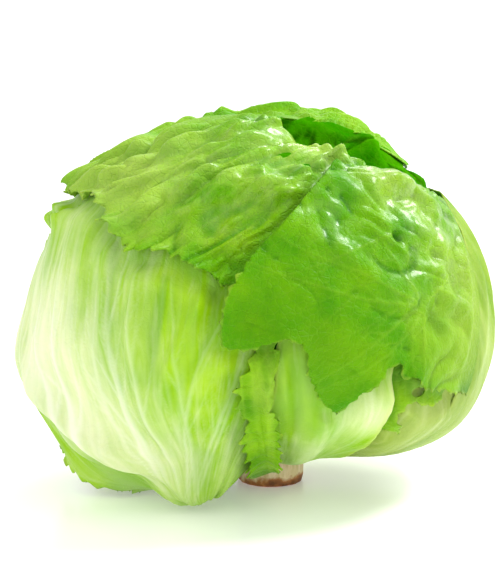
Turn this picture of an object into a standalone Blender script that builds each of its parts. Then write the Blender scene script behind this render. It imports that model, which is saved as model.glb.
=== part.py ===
"""A head of iceberg lettuce standing on its cut stem.

The head is a dense heart on a short stem, wrapped in loose outer leaves. All lengths below
are in millimetres, and the meshes are made in metres. X runs to the right, Y to the back and
Z up, with the origin at the middle of the stem's cut face.

A direction is a pair (azimuth, elevation) in degrees, seen from the middle of the head:
azimuth 0 faces the front (-Y), 90 the right (+X), and elevation 90 is straight up. In the
functions below, directions are unit vectors, one to a row.
"""

import math
from dataclasses import dataclass, field

import bmesh
import bpy
import numpy as np

METRES = 0.001

# The head
HEAD_MIDDLE = np.array((-7.0, 0.0, 69.0))
OUTLINE_LEAN = math.radians(12)
OUTLINE_RADIUS = {
    0: 87, 30: 80, 60: 74, 90: 70, 120: 69, 150: 78, 180: 83, 195: 90, 210: 88,
    225: 86, 240: 75, 255: 65, 270: 62, 300: 67, 315: 79, 330: 89, 345: 90,
}
FRONT_DEPTH = 77.0
BACK_DEPTH = 73.0
MEAN_RADIUS = 76.0
LOWEST_LEAF = 0.3

# The leaves
LAYER_STEP = 2.3
LEAF_THICKNESS = 0.9
DRAPE_WIDTH = 9.0
MARGIN_SPACING = 1.0
LATTICE_SPACING = 2.4
HEART_TRIANGLES = 1250
FOLDED_EDGES = 5
FOLDED_EDGE_HEIGHT = 1.6

# The stem
STEM_DIRECTION = (90, -84)
STEM_RADIUS = 12.6
STEM_FOOT_RADIUS = 11.9
STEM_BUTT_HEIGHT = 11.0
STEM_CORE_BASE = 30.0
STEM_CORE_TOP = 52.0
STEM_CORE_RADIUS = 6.0
STEM_CLEARANCE = 0.5
LEAF_CLEARANCE_AT_STEM = 1.2
UNDERSIDE_RADIUS = 62.0


@dataclass
class Swelling:
    """A long smooth ridge, or a hollow where its height is below zero."""

    azimuth: float
    elevation: float
    height: float
    half_length: float
    half_width: float
    heading: float = 0.0  # degrees from level, towards the top


@dataclass
class Leaf:
    """One leaf: its margin, its rib, and how its margin is cut, waved and raised."""

    name: str
    centre: tuple
    margin: list
    rib_end: tuple
    colour: tuple
    triangles: int
    tooth_pitch: float = 8.0
    tooth_depth: float = 2.4
    ruffle: float = 2.2
    ruffle_pitch: float = 24.0
    rib_height: float = 2.2
    rib_width: float = 8.0
    seed: int = 1
    lifts: list = field(default_factory=list)
    plain: list = field(default_factory=list)


HEAD_SWELLINGS = [
    Swelling(-26, -52, 15.0, 17.0, 14.0),
    Swelling(-60, -17, 4.0, 20.0, 6.0, -32.0),
    Swelling(-42, -31, 5.0, 16.0, 6.0, -50.0),
    Swelling(-62, -38, -4.0, 22.0, 7.0, -42.0),
    Swelling(48, 63, -9.0, 17.0, 8.0, -20.0),
    Swelling(70, 54, 5.0, 12.0, 4.5, 30.0),
    Swelling(79, 45, -7.0, 9.0, 5.5, -35.0),
    Swelling(86, 36, -4.0, 7.0, 4.5, -50.0),
    Swelling(20, 42, 2.5, 22.0, 6.0),
    Swelling(55, 40, 3.0, 16.0, 6.0),
]

# From the innermost leaf to the outermost, which is the order in which they wrap the heart
LEAVES = [
    Leaf(
        name="lower_right_leaf", centre=(65, -30), rib_end=(75, 0), triangles=480,
        margin=[(25, -32), (30, -12), (45, -1), (70, 4), (90, 2), (104, -12), (108, -35),
                (108, -60), STEM_DIRECTION, (20, -79), (22, -55)],
        colour=(0.60, 0.72, 0.27), ruffle=1.2, seed=3,
    ),
    Leaf(
        name="left_under_leaf", centre=(-108, -22), rib_end=(-110, 20), triangles=560,
        margin=[(-73, -35), (-70, -10), (-69, 18), (-70, 30), (-76, 32), (-84, 28), (-94, 25),
                (-108, 22), (-130, 20), (-150, 8), (-157, -15), (-152, -45), (-145, -72),
                STEM_DIRECTION, (-55, -78), (-68, -58)],
        colour=(0.45, 0.62, 0.16), ruffle=3.0, seed=5,
    ),
    Leaf(
        name="torn_leaf", centre=(44, -36), rib_end=(44, -8), triangles=330,
        margin=[(52, -56), (43, -40), (41, -31), (43, -28), (47, -28), (46, -25), (43, -22),
                (43, -19), (51, -19), (56, -19), (58, -16), (54, -12), (48, -8), (38, -5),
                (27, -12), (24, -26), (28, -50), (50, -74), STEM_DIRECTION, (78, -70)],
        colour=(0.36, 0.56, 0.10), tooth_pitch=6.0, tooth_depth=1.4, ruffle=1.2,
        rib_height=0.6, seed=7,
    ),
    Leaf(
        name="left_wrapper", centre=(-42, -20), rib_end=(-62, 30), triangles=900,
        margin=[(30, -74), (9, -50), (7, -33), (6, -20), (6, -6), (4, 8), (-6, 19), (-20, 28),
                (-32, 32), (-42, 33), (-52, 35), (-60, 37), (-67, 35), (-74, 30), (-80, 23),
                (-94, 17), (-106, 4), (-110, -12), (-104, -28), (-90, -39), (-78, -44),
                (-69, -48), (-64, -56), (-48, -70), STEM_DIRECTION],
        colour=(0.74, 0.84, 0.44), rib_height=3.2, rib_width=11.0, seed=11,
        lifts=[(-62, 36, 16, 3.0), (-68, -50, 18, 1.5)],
    ),
    Leaf(
        name="front_wrapper", centre=(24, -30), rib_end=(20, 0), triangles=480,
        margin=[(9, -3), (12, 3), (20, 5), (30, 2), (36, -5), (37, -12), (38, -21), (40, -32),
                (47, -45), (57, -57), (75, -72), STEM_DIRECTION, (6, -77), (4, -60), (4, -33),
                (6, -15)],
        colour=(0.72, 0.80, 0.42), tooth_depth=0.5, ruffle=0.8, rib_height=1.6, seed=13,
        lifts=[(38, -20, 16, 2.4)],
    ),
    Leaf(
        name="curled_leaf", centre=(4, -30), rib_end=(8, 0), triangles=380,
        margin=[(-1, -3), (-3, -9), (-3, -17), (-3, -28), (-3, -42), (-4, -58), (6, -76),
                STEM_DIRECTION, (22, -72), (12, -55), (11, -40), (10, -25), (9, -12), (7, 1),
                (2, 4)],
        colour=(0.42, 0.64, 0.08), tooth_pitch=5.0, tooth_depth=1.8, ruffle=1.0,
        ruffle_pitch=9.0, rib_height=4.5, rib_width=7.0, seed=17,
    ),
    Leaf(
        name="cap_leaf", centre=(-165, 62), rib_end=(10, 80), triangles=950,
        margin=[(-104, 25), (-92, 28), (-84, 31), (-76, 35), (-66, 37), (-56, 36), (-48, 32), (-40, 26),
                (-33, 22), (-27, 23), (-21, 21), (-15, 19), (-9, 15), (2, 18), (15, 27),
                (30, 38), (46, 42), (52, 50), (42, 56), (33, 65), (24, 73), (30, 80),
                (58, 78), (70, 73), (77, 66), (82, 59), (86, 53), (91, 47), (98, 41), (112, 36),
                (130, 32), (146, 25), (158, 10), (164, -20), (164, -55), STEM_DIRECTION,
                (-172, -60), (-160, -30), (-140, 0), (-118, 19)],
        colour=(0.38, 0.62, 0.10), tooth_pitch=7.0, tooth_depth=2.8, ruffle=2.0, seed=19,
        lifts=[(-30, 22, 22, 2.0), (36, 62, 14, 2.0), (80, 60, 16, 2.5)],
        plain=[(36, 62, 22), (80, 60, 18)],
    ),
    Leaf(
        name="back_wrapper", centre=(168, -22), rib_end=(170, 18), triangles=650,
        margin=[(124, -45), (118, -14), (124, 12), (142, 24), (162, 21), (178, 27), (-164, 22),
                (-146, 8), (-138, -20), (-142, -52), (-150, -74), STEM_DIRECTION, (125, -72)],
        colour=(0.66, 0.78, 0.34), rib_height=3.0, rib_width=10.0, seed=23,
    ),
    Leaf(
        name="upper_right_leaf", centre=(62, 2), rib_end=(47, 8), triangles=900,
        margin=[(24, 43), (18, 39), (10, 32), (-1, 22), (-6, 15), (-8, 8), (-7, 0), (-2, -1),
                (4, 0), (9, 1.5), (12, -1), (14, -9), (18, -16), (24, -21), (28, -16),
                (33, -11), (38, -7), (39, -10), (43, -11), (45, -13), (53, -15), (60, -17),
                (70, -20), (80, -26), (88, -42), (92, -62), STEM_DIRECTION, (112, -60),
                (114, -25), (118, 5), (116, 18), (106, 27), (92, 29), (82, 31), (72, 35),
                (62, 39), (53, 43), (45, 47), (37, 50), (30, 47)],
        colour=(0.34, 0.58, 0.06), tooth_pitch=9.0, tooth_depth=2.4, ruffle=1.8, seed=29,
        lifts=[(10, 32, 26, 3.6), (-7, 5, 12, 2.0), (56, 42, 20, 1.5)],
        plain=[(16, 38, 14), (56, 43, 26), (80, 30, 14)],
    ),
    Leaf(
        name="right_wrapper", centre=(105, -20), rib_end=(108, 20), triangles=650,
        margin=[(66, -48), (62, -32), (63, -18), (66, -5), (72, 9), (80, 20), (92, 29),
                (106, 30), (122, 22), (138, 8), (144, -14), (140, -40), (132, -66),
                STEM_DIRECTION, (60, -70)],
        colour=(0.68, 0.80, 0.34), tooth_depth=0.6, ruffle=0.3, rib_height=2.4, rib_width=10.0,
        seed=31,
    ),
]


def unit(pairs):
    """Directions of (azimuth, elevation) pairs in degrees."""
    azimuth, elevation = np.radians(np.asarray(pairs, float).reshape(-1, 2)).T
    level = np.cos(elevation)
    return np.stack((np.sin(azimuth) * level, -np.cos(azimuth) * level, np.sin(elevation)), axis=1)


def smooth_step(low, high, value):
    """0 below low, 1 above high, and a smooth rise between them."""
    share = np.clip((value - low) / (high - low), 0, 1)
    return share * share * (3 - 2 * share)


def closed_curve(positions, values, period):
    """A smooth closed curve through rows of values at rising positions, as Hermite pieces."""
    x = np.concatenate(((positions[-1] - period,), positions, positions[:2] + period))
    y = np.concatenate((values[-1:], values, values[:2]))
    width = np.diff(x)[:, None]
    rise = np.diff(y, axis=0) / width
    slope = (rise[:-1] * width[1:] + rise[1:] * width[:-1]) / (width[1:] + width[:-1])

    def read(at):
        at = positions[0] + np.mod(at - positions[0], period)
        i = np.clip(np.searchsorted(x, at, side="right") - 1, 1, len(positions))
        s = ((at - x[i]) / (x[i + 1] - x[i]))[:, None]
        return (
            y[i] * (1 + 2 * s) * (1 - s) ** 2
            + y[i + 1] * s * s * (3 - 2 * s)
            + slope[i - 1] * width[i] * s * (1 - s) ** 2
            + slope[i] * width[i] * s * s * (s - 1)
        )

    return read


def tangents(centre, heading=0.0):
    """A direction, a unit vector along the heading (degrees from level) and one across it."""
    away = unit([centre])[0]
    level = np.cross((0.0, 0.0, 1.0), away)
    level /= np.linalg.norm(level)
    turn = math.radians(heading)
    along = level * math.cos(turn) + np.cross(away, level) * math.sin(turn)
    return away, along, np.cross(away, along)


def flat_coordinates(centre, directions, heading=0.0):
    """Millimetres along and across on the head, unrolled round a centre."""
    away, along, across = tangents(centre, heading)
    a, b = directions @ along, directions @ across
    arc = np.arctan2(np.hypot(a, b), directions @ away) * MEAN_RADIUS
    turn = np.arctan2(b, a)
    return arc * np.cos(turn), arc * np.sin(turn)


def flat_directions(centre, along_mm, across_mm):
    """The directions of flat coordinates round a centre."""
    away, along, across = tangents(centre)
    arc = np.hypot(along_mm, across_mm)[:, None] / MEAN_RADIUS
    turn = np.arctan2(across_mm, along_mm)[:, None]
    return away * np.cos(arc) + (along * np.cos(turn) + across * np.sin(turn)) * np.sin(arc)


def normalised(vectors):
    return vectors / np.linalg.norm(vectors, axis=1, keepdims=True)


OUTLINE = closed_curve(
    np.array(list(OUTLINE_RADIUS), float), np.array(list(OUTLINE_RADIUS.values()), float)[:, None], 360
)


def swelling_height(swelling, directions):
    """Height of one ridge or hollow, a Gaussian in the unrolled plane."""
    centre = (swelling.azimuth, swelling.elevation)
    along, across = flat_coordinates(centre, directions, swelling.heading)
    return swelling.height * np.exp(
        -((along / swelling.half_length) ** 2) - (across / swelling.half_width) ** 2
    )


def floor_radius(directions):
    """Distance from the head's middle to the level of the lowest leaf."""
    return (HEAD_MIDDLE[2] - LOWEST_LEAF) / np.maximum(-directions[:, 2], 0.01)


def head_radius(directions):
    """Distance from the head's middle to its outside, an ellipse from the outline to the depth."""
    rise = directions @ np.array((0, math.sin(OUTLINE_LEAN), math.cos(OUTLINE_LEAN)))
    forward = directions @ np.array((0, -math.cos(OUTLINE_LEAN), math.sin(OUTLINE_LEAN)))
    side = OUTLINE(np.degrees(np.arctan2(rise, directions[:, 0])))[:, 0]
    depth = np.where(forward > 0, FRONT_DEPTH, BACK_DEPTH)
    radius = 1 / np.sqrt((1 - forward**2) / side**2 + forward**2 / depth**2)
    radius += sum(swelling_height(swelling, directions) for swelling in HEAD_SWELLINGS)
    return np.minimum(radius, floor_radius(directions))


class Margin:
    """A leaf's margin as evenly spaced samples, with their outward normals and running length."""

    def __init__(self, leaf):
        corners = unit(leaf.margin)
        along, across = flat_coordinates(leaf.centre, corners)
        if np.sum(along * np.roll(across, -1) - np.roll(along, -1) * across) < 0:
            corners = corners[::-1]
        steps = np.linalg.norm(np.roll(corners, -1, axis=0) - corners, axis=1) * MEAN_RADIUS
        curve = closed_curve(np.concatenate(((0,), np.cumsum(steps[:-1]))), corners, steps.sum())
        self.arc = np.linspace(0, steps.sum(), int(steps.sum() / MARGIN_SPACING), endpoint=False)
        self.line = normalised(curve(self.arc))
        tangent = np.roll(self.line, -1, axis=0) - np.roll(self.line, 1, axis=0)
        self.normals = normalised(np.cross(tangent, self.line))

    def distance(self, directions):
        """Millimetres outside the margin, negative inside it, and the nearest sample."""
        nearest = np.argmax(directions @ self.line.T, axis=1)
        offset = directions - self.line[nearest]
        across = np.sum(offset * self.normals[nearest], axis=1)
        direct = np.linalg.norm(offset, axis=1)
        near = direct * MEAN_RADIUS < 3 * MARGIN_SPACING
        return np.where(near, across, np.copysign(direct, across)) * MEAN_RADIUS, nearest


MARGINS = {leaf.name: Margin(leaf) for leaf in LEAVES}


def cover(leaf, directions):
    """1 on the leaf, falling to 0 over the drape's width outside its margin."""
    outside, _ = MARGINS[leaf.name].distance(directions)
    return 1 - smooth_step(1.0, DRAPE_WIDTH, outside)


def bell(azimuth, elevation, spread, directions):
    """1 at a direction, falling round it to 0 at about twice its spread in degrees."""
    apart = np.arccos(np.clip(directions @ unit([(azimuth, elevation)])[0], -1, 1))
    return np.exp(-((np.degrees(apart) / spread) ** 2))


def plain_share(leaf, directions):
    """1 where the margin is neither cut nor waved."""
    share = np.zeros(len(directions))
    for azimuth, elevation, spread in leaf.plain:
        share = np.maximum(share, bell(azimuth, elevation, spread, directions))
    return smooth_step(0.2, 0.7, share)


def tooth_cut(leaf, arc):
    """How far the margin is cut back at each point along it: uneven teeth from two saw waves."""
    shift = np.random.default_rng(leaf.seed).uniform(0, 1, 3)
    small = np.abs(np.mod(arc / leaf.tooth_pitch + shift[0], 1) - 0.5) * 2
    large = np.abs(np.mod(arc / (2.7 * leaf.tooth_pitch) + shift[1], 1) - 0.5) * 2
    uneven = 0.6 + 0.4 * np.sin(arc / 31 + 6 * shift[2])
    return leaf.tooth_depth * (0.6 * small + 0.7 * large * uneven)


def ruffle_height(leaf, arc):
    """Waves of the margin, always outwards."""
    shift = np.random.default_rng(leaf.seed + 100).uniform(0, 2 * math.pi, 2)
    wave = 0.5 + 0.5 * np.sin(2 * math.pi * arc / leaf.ruffle_pitch + shift[0])
    slow = 0.6 + 0.4 * np.sin(2 * math.pi * arc / (3.3 * leaf.ruffle_pitch) + shift[1])
    return leaf.ruffle * wave * slow


def lift_height(leaf, directions):
    """Where the margin stands off, a bell round each lift's direction."""
    height = np.zeros(len(directions))
    for azimuth, elevation, spread, rise in leaf.lifts:
        height += rise * bell(azimuth, elevation, spread, directions)
    return height


def rib_height(leaf, directions):
    """The midrib: a rounded ridge from the stem to the rib's end, wide and high at its foot."""
    start, end = unit([STEM_DIRECTION, leaf.rib_end])
    length = math.acos(start @ end)
    ahead = (end - start * math.cos(length)) / math.sin(length)
    along = np.arctan2(directions @ ahead, directions @ start) / length
    across = np.arcsin(directions @ np.cross(start, ahead)) * MEAN_RADIUS
    width = leaf.rib_width * (1 - 0.65 * np.clip(along, 0, 1))
    fade = (1 - smooth_step(0.35, 1.05, along)) * smooth_step(-0.15, 0.05, along)
    return leaf.rib_height * fade * np.exp(-((across / width) ** 2))


def away_from_stem(directions):
    """0 round the stem and 1 on the blades."""
    return smooth_step(-0.93, -0.75, directions[:, 2])


def trim(leaf, directions):
    """Millimetres outside the leaf's toothed edge or inside the stem's room, and the way there."""
    margin = MARGINS[leaf.name]
    outside, nearest = margin.distance(directions)
    cut_share = away_from_stem(directions) * (1 - plain_share(leaf, directions))
    outside += tooth_cut(leaf, margin.arc[nearest]) * cut_share
    stem = unit([STEM_DIRECTION])[0]
    layers_outside = len(LEAVES) - 1 - LEAVES.index(leaf)
    underside = UNDERSIDE_RADIUS - LAYER_STEP * layers_outside
    room = math.asin((STEM_RADIUS + LEAF_CLEARANCE_AT_STEM) / underside)
    at_stem = (room - np.arccos(np.clip(directions @ stem, -1, 1))) * MEAN_RADIUS
    to_stem = normalised(stem - directions * (directions @ stem)[:, None] + 1e-9)
    inner = at_stem > outside
    return np.where(inner, at_stem, outside), np.where(inner[:, None], to_stem, margin.normals[nearest])


def lattice(leaf, spacing):
    """Directions and triangles of an even lattice over the leaf, its rim moved onto the edge."""
    reach_along, reach_across = flat_coordinates(leaf.centre, MARGINS[leaf.name].line)
    columns = np.arange(reach_along.min() - spacing, reach_along.max() + 2 * spacing, spacing)
    rows = np.arange(reach_across.min() - spacing, reach_across.max() + 2 * spacing, spacing * 0.866)
    along, across = np.meshgrid(columns, rows)
    along = along + 0.5 * spacing * (np.arange(len(rows)) % 2)[:, None]
    directions = flat_directions(leaf.centre, along.ravel(), across.ravel())

    index = np.arange(along.size).reshape(along.shape)
    near, far = index[:-1, :-1], index[:-1, 1:]
    above, beyond = index[1:, :-1], index[1:, 1:]
    even = (np.arange(len(rows) - 1) % 2 == 0)[:, None, None]
    first = np.where(even, np.stack((near, far, above), 2), np.stack((near, far, beyond), 2))
    second = np.where(even, np.stack((far, beyond, above), 2), np.stack((near, beyond, above), 2))
    faces = np.concatenate((first.reshape(-1, 3), second.reshape(-1, 3)))

    wraps = (np.hypot(along, across).ravel() > 0.95 * math.pi * MEAN_RADIUS)[faces].any(axis=1)
    outside, _ = trim(leaf, directions)
    faces = faces[(outside[faces].mean(axis=1) < 0) & ~wraps]
    faces = without_pinches(faces)
    used, faces = np.unique(faces, return_inverse=True)
    directions, faces = directions[used], faces.reshape(-1, 3)
    rim = rim_vertices(faces)
    for _ in range(3):
        outside, way = trim(leaf, directions[rim])
        directions[rim] = normalised(directions[rim] - way * (outside / MEAN_RADIUS)[:, None])
    return directions, faces


def rim_edges(faces):
    """Edges that bound only one triangle, one to a row."""
    edges = np.sort(np.concatenate((faces[:, :2], faces[:, 1:], faces[:, ::2])), axis=1)
    edges, count = np.unique(edges, axis=0, return_counts=True)
    return edges[count == 1]


def rim_vertices(faces):
    return np.unique(rim_edges(faces))


def without_pinches(faces):
    """Drop the triangles at points where the rim meets itself."""
    while True:
        ends, count = np.unique(rim_edges(faces), return_counts=True)
        pinched = np.isin(faces, ends[count > 2]).any(axis=1)
        if not pinched.any():
            return faces
        faces = faces[~pinched]


def leaf_radius(leaf, directions):
    """Distance from the head's middle to the leaf's outer face.

    The leaf lies on the head's outside, sunk by a step for each leaf over it. Its rib and waves
    show only where no leaf covers it.
    """
    covers = [cover(other, directions) for other in LEAVES[LEAVES.index(leaf) + 1 :]]
    sunk = LAYER_STEP * sum(covers, np.zeros(len(directions)))
    open_air = np.prod([1 - share for share in covers], axis=0) if covers else 1.0
    margin = MARGINS[leaf.name]
    outside, nearest = margin.distance(directions)
    edge = smooth_step(-14.0, 0.0, outside) * away_from_stem(directions)
    relief = rib_height(leaf, directions)
    waves = ruffle_height(leaf, margin.arc[nearest]) * (1 - plain_share(leaf, directions))
    relief += edge * (waves + lift_height(leaf, directions))
    radius = head_radius(directions) - sunk + relief * open_air
    return np.minimum(radius, floor_radius(directions) - sunk)


def heart_radius(directions):
    """Distance from the head's middle to the heart, with the edges of its folded leaves."""
    sunk = LAYER_STEP * sum(cover(leaf, directions) for leaf in LEAVES)
    azimuth = np.arctan2(directions[:, 0], -directions[:, 1]) / (2 * math.pi)
    lean = 0.22 * directions[:, 2]
    fold = np.mod(FOLDED_EDGES * (azimuth + lean), 1)
    slope = smooth_step(0.0, 0.12, fold) * (1 - fold)
    level = 1 - np.abs(directions[:, 2]) ** 4
    return head_radius(directions) - sunk - FOLDED_EDGE_HEIGHT * (1 - slope) * level


def placed(directions, radius):
    """Points in metres."""
    return (HEAD_MIDDLE + directions * radius[:, None]) * METRES


def add_object(name, mesh, collection, colour, roughness):
    """An object with a plain material of its own."""
    material = bpy.data.materials.new(name)
    material.use_nodes = True
    shader = material.node_tree.nodes["Principled BSDF"]
    shader.inputs["Base Color"].default_value = (*colour, 1)
    shader.inputs["Roughness"].default_value = roughness
    shader.inputs["Metallic"].default_value = 0
    mesh.materials.append(material)
    mesh.shade_smooth()
    made = bpy.data.objects.new(name, mesh)
    collection.objects.link(made)
    return made


def add_thinning(made, triangles):
    """Fewer triangles where the surface is even."""
    thin = made.modifiers.new("fewer_faces", "DECIMATE")
    thin.ratio = triangles / len(made.data.polygons)
    thin.use_collapse_triangulate = True


def add_leaf(leaf, collection):
    """A leaf: a waved open face of triangles, then its thickness inwards."""
    directions, faces = lattice(leaf, LATTICE_SPACING)
    mesh = bpy.data.meshes.new(leaf.name)
    mesh.from_pydata(placed(directions, leaf_radius(leaf, directions)).tolist(), [], faces.tolist())
    made = add_object(leaf.name, mesh, collection, leaf.colour, 0.45)
    add_thinning(made, leaf.triangles)
    wall = made.modifiers.new("thickness", "SOLIDIFY")
    wall.thickness = LEAF_THICKNESS * METRES
    wall.offset = -1


def add_heart(collection, cutter):
    """The dense heart: a ball of folded leaves, hollowed where the stem's core enters it."""
    mesh = bpy.data.meshes.new("heart")
    shape = bmesh.new()
    bmesh.ops.create_icosphere(shape, subdivisions=5, radius=1)
    directions = normalised(np.array([vertex.co for vertex in shape.verts]))
    for vertex, place in zip(shape.verts, placed(directions, heart_radius(directions))):
        vertex.co = place
    shape.to_mesh(mesh)
    shape.free()
    made = add_object("heart", mesh, collection, (0.50, 0.68, 0.16), 0.5)
    add_thinning(made, HEART_TRIANGLES)
    room = made.modifiers.new("room_for_stem", "BOOLEAN")
    room.object = cutter


def stem_profile(grow, foot):
    """Corners of half the stem, top to bottom: its core in the heart, then the cut butt."""
    return [
        (0, STEM_CORE_TOP + grow),
        (STEM_CORE_RADIUS + grow, STEM_CORE_TOP - 3 + grow),
        (STEM_RADIUS - 1 + grow, STEM_CORE_BASE),
        (STEM_RADIUS + grow, STEM_BUTT_HEIGHT),
        (STEM_RADIUS + grow, 2.0),
        (STEM_FOOT_RADIUS + grow, foot),
        (0, foot),
    ]


def add_turned(name, profile, collection, colour):
    """A turned solid from a profile of (radius, height) at +X."""
    mesh = bpy.data.meshes.new(name)
    points = [(radius * METRES, 0, height * METRES) for radius, height in profile]
    mesh.from_pydata(points, [(i, i + 1) for i in range(len(points) - 1)], [])
    made = add_object(name, mesh, collection, colour, 0.7)
    turn = made.modifiers.new("turn", "SCREW")
    turn.steps = 32
    turn.render_steps = 32
    turn.use_merge_vertices = True
    turn.merge_threshold = 0.00001
    return made


def main():
    for old in list(bpy.data.objects):
        bpy.data.objects.remove(old)
    head = bpy.data.collections.new("lettuce_head")
    helpers = bpy.data.collections.new("cutters")
    bpy.context.scene.collection.children.link(head)
    bpy.context.scene.collection.children.link(helpers)

    add_turned("stem", stem_profile(0.0, 0.0), head, (0.62, 0.50, 0.28))
    cutter = add_turned("stem_room", stem_profile(STEM_CLEARANCE, -10.0), helpers, (0.5, 0.5, 0.5))
    cutter.hide_render = True
    cutter.display_type = "WIRE"
    add_heart(head, cutter)
    for leaf in LEAVES:
        add_leaf(leaf, head)


if __name__ == "__main__":
    main()
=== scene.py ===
"""Looks of a head of crisp lettuce that stands on its cut stem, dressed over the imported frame.

The head is a form that every leaf follows. A leaf lies on that form, sunk by one step for each
leaf over it, and stands out of it by its ribs, veins, blisters and waves. Lengths are in
millimetres and the meshes are made in metres. X runs right, Y to the back and Z up.

A direction is a pair (azimuth, elevation) in degrees from the middle of the head: azimuth 0
faces the front (-Y), 90 the right (+X), and elevation 90 is straight up. In the functions,
directions are unit vectors, one to a row.
"""

import logging
import math
from dataclasses import dataclass
from enum import Enum
from functools import cached_property

import bpy
import numpy as np
from mathutils import Matrix, Vector


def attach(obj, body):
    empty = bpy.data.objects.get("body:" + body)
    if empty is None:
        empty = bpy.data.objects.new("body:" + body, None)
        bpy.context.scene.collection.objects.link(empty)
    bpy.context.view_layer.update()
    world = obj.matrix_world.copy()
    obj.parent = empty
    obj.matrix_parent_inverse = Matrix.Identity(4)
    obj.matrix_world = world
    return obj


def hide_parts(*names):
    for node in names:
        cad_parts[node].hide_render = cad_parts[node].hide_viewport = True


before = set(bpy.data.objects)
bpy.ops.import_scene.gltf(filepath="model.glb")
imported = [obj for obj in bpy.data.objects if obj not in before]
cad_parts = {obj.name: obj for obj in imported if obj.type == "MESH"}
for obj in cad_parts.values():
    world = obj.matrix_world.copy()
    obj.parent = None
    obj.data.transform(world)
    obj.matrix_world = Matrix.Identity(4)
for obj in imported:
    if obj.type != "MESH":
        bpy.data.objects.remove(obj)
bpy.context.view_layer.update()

LOG = logging.getLogger("lettuce")
Array = np.ndarray
METRES = 0.001
MEAN_RADIUS = 76.0  # of the head, to turn angles into lengths
STEM_DIRECTION = (90, -84)  # where the leaves grow from
FAN_REACH = 60.0  # where a millimetre across the fan of veins is true


def unit(pairs: object) -> Array:
    """Directions of (azimuth, elevation) pairs in degrees.

    Args:
        pairs: One pair, or a list of pairs.

    Returns:
        Unit vectors (sin az cos el, -cos az cos el, sin el), one to a row.
    """
    azimuth, elevation = np.radians(np.asarray(pairs, float).reshape(-1, 2)).T
    level = np.cos(elevation)
    return np.stack((np.sin(azimuth) * level, -np.cos(azimuth) * level, np.sin(elevation)), axis=1)


def normalised(vectors: Array) -> Array:
    """The vectors at length 1."""
    return vectors / np.linalg.norm(vectors, axis=1, keepdims=True)


def smooth_step(low: float, high: float, value: Array) -> Array:
    """0 below low, 1 above high, and 3s^2 - 2s^3 of the share s between them.

    Args:
        low: Where the rise starts.
        high: Where it ends.
        value: The values to read.

    Returns:
        Shares from 0 to 1.
    """
    share = np.clip((value - low) / (high - low), 0, 1)
    return share * share * (3 - 2 * share)


class ClosedCurve:
    """A smooth closed curve through rows of values at rising positions, as Hermite pieces."""

    def __init__(self, positions: Array, values: Array, period: float) -> None:
        """Keep the pieces.

        Args:
            positions: Rising positions along the curve.
            values: One row of coordinates for each position.
            period: Length after which the curve repeats.
        """
        self.start, self.period, self.count = positions[0], period, len(positions)
        self.x = np.concatenate(((positions[-1] - period,), positions, positions[:2] + period))
        self.y = np.concatenate((values[-1:], values, values[:2]))
        self.width = np.diff(self.x)[:, None]
        rise = np.diff(self.y, axis=0) / self.width
        before, after = self.width[:-1], self.width[1:]
        self.slope = (rise[:-1] * after + rise[1:] * before) / (before + after)

    def read(self, at: Array) -> Array:
        """The curve's coordinates: two ends and two slopes blended by Hermite's cubics.

        Args:
            at: Positions along the curve.

        Returns:
            One row of coordinates for each position.
        """
        at = self.start + np.mod(at - self.start, self.period)
        i = np.clip(np.searchsorted(self.x, at, side="right") - 1, 1, self.count)
        s = ((at - self.x[i]) / (self.x[i + 1] - self.x[i]))[:, None]
        return (
            self.y[i] * (1 + 2 * s) * (1 - s) ** 2
            + self.y[i + 1] * s * s * (3 - 2 * s)
            + self.slope[i - 1] * self.width[i] * s * (1 - s) ** 2
            + self.slope[i] * self.width[i] * s * s * (s - 1)
        )


@dataclass(frozen=True)
class Unrolled:
    """The head's surface unrolled flat round one direction, in millimetres."""

    centre: tuple
    heading: float = 0.0

    @cached_property
    def axes(self) -> tuple:
        """The plane's three axes.

        Returns:
            The centre's unit vector, one along the heading (degrees from level) and one across.
        """
        away = unit(self.centre)[0]
        level = normalised(np.cross((0.0, 0.0, 1.0), away)[None])[0]
        turn = math.radians(self.heading)
        along = level * math.cos(turn) + np.cross(away, level) * math.sin(turn)
        return away, along, np.cross(away, along)

    def read(self, directions: Array) -> tuple:
        """Flat coordinates: each direction keeps its bearing and its arc's length from the centre.

        Args:
            directions: Unit vectors.

        Returns:
            Millimetres along the heading, and across it.
        """
        away, along, across = self.axes
        a, b = directions @ along, directions @ across
        arc = np.arctan2(np.hypot(a, b), directions @ away) * MEAN_RADIUS
        turn = np.arctan2(b, a)
        return arc * np.cos(turn), arc * np.sin(turn)

    def directions(self, along_mm: Array, across_mm: Array) -> Array:
        """The inverse of read.

        Args:
            along_mm: Millimetres along the heading.
            across_mm: Millimetres across it.

        Returns:
            Unit vectors.
        """
        away, along, across = self.axes
        arc = np.hypot(along_mm, across_mm)[:, None] / MEAN_RADIUS
        turn = np.arctan2(across_mm, along_mm)[:, None]
        return away * np.cos(arc) + (along * np.cos(turn) + across * np.sin(turn)) * np.sin(arc)


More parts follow.
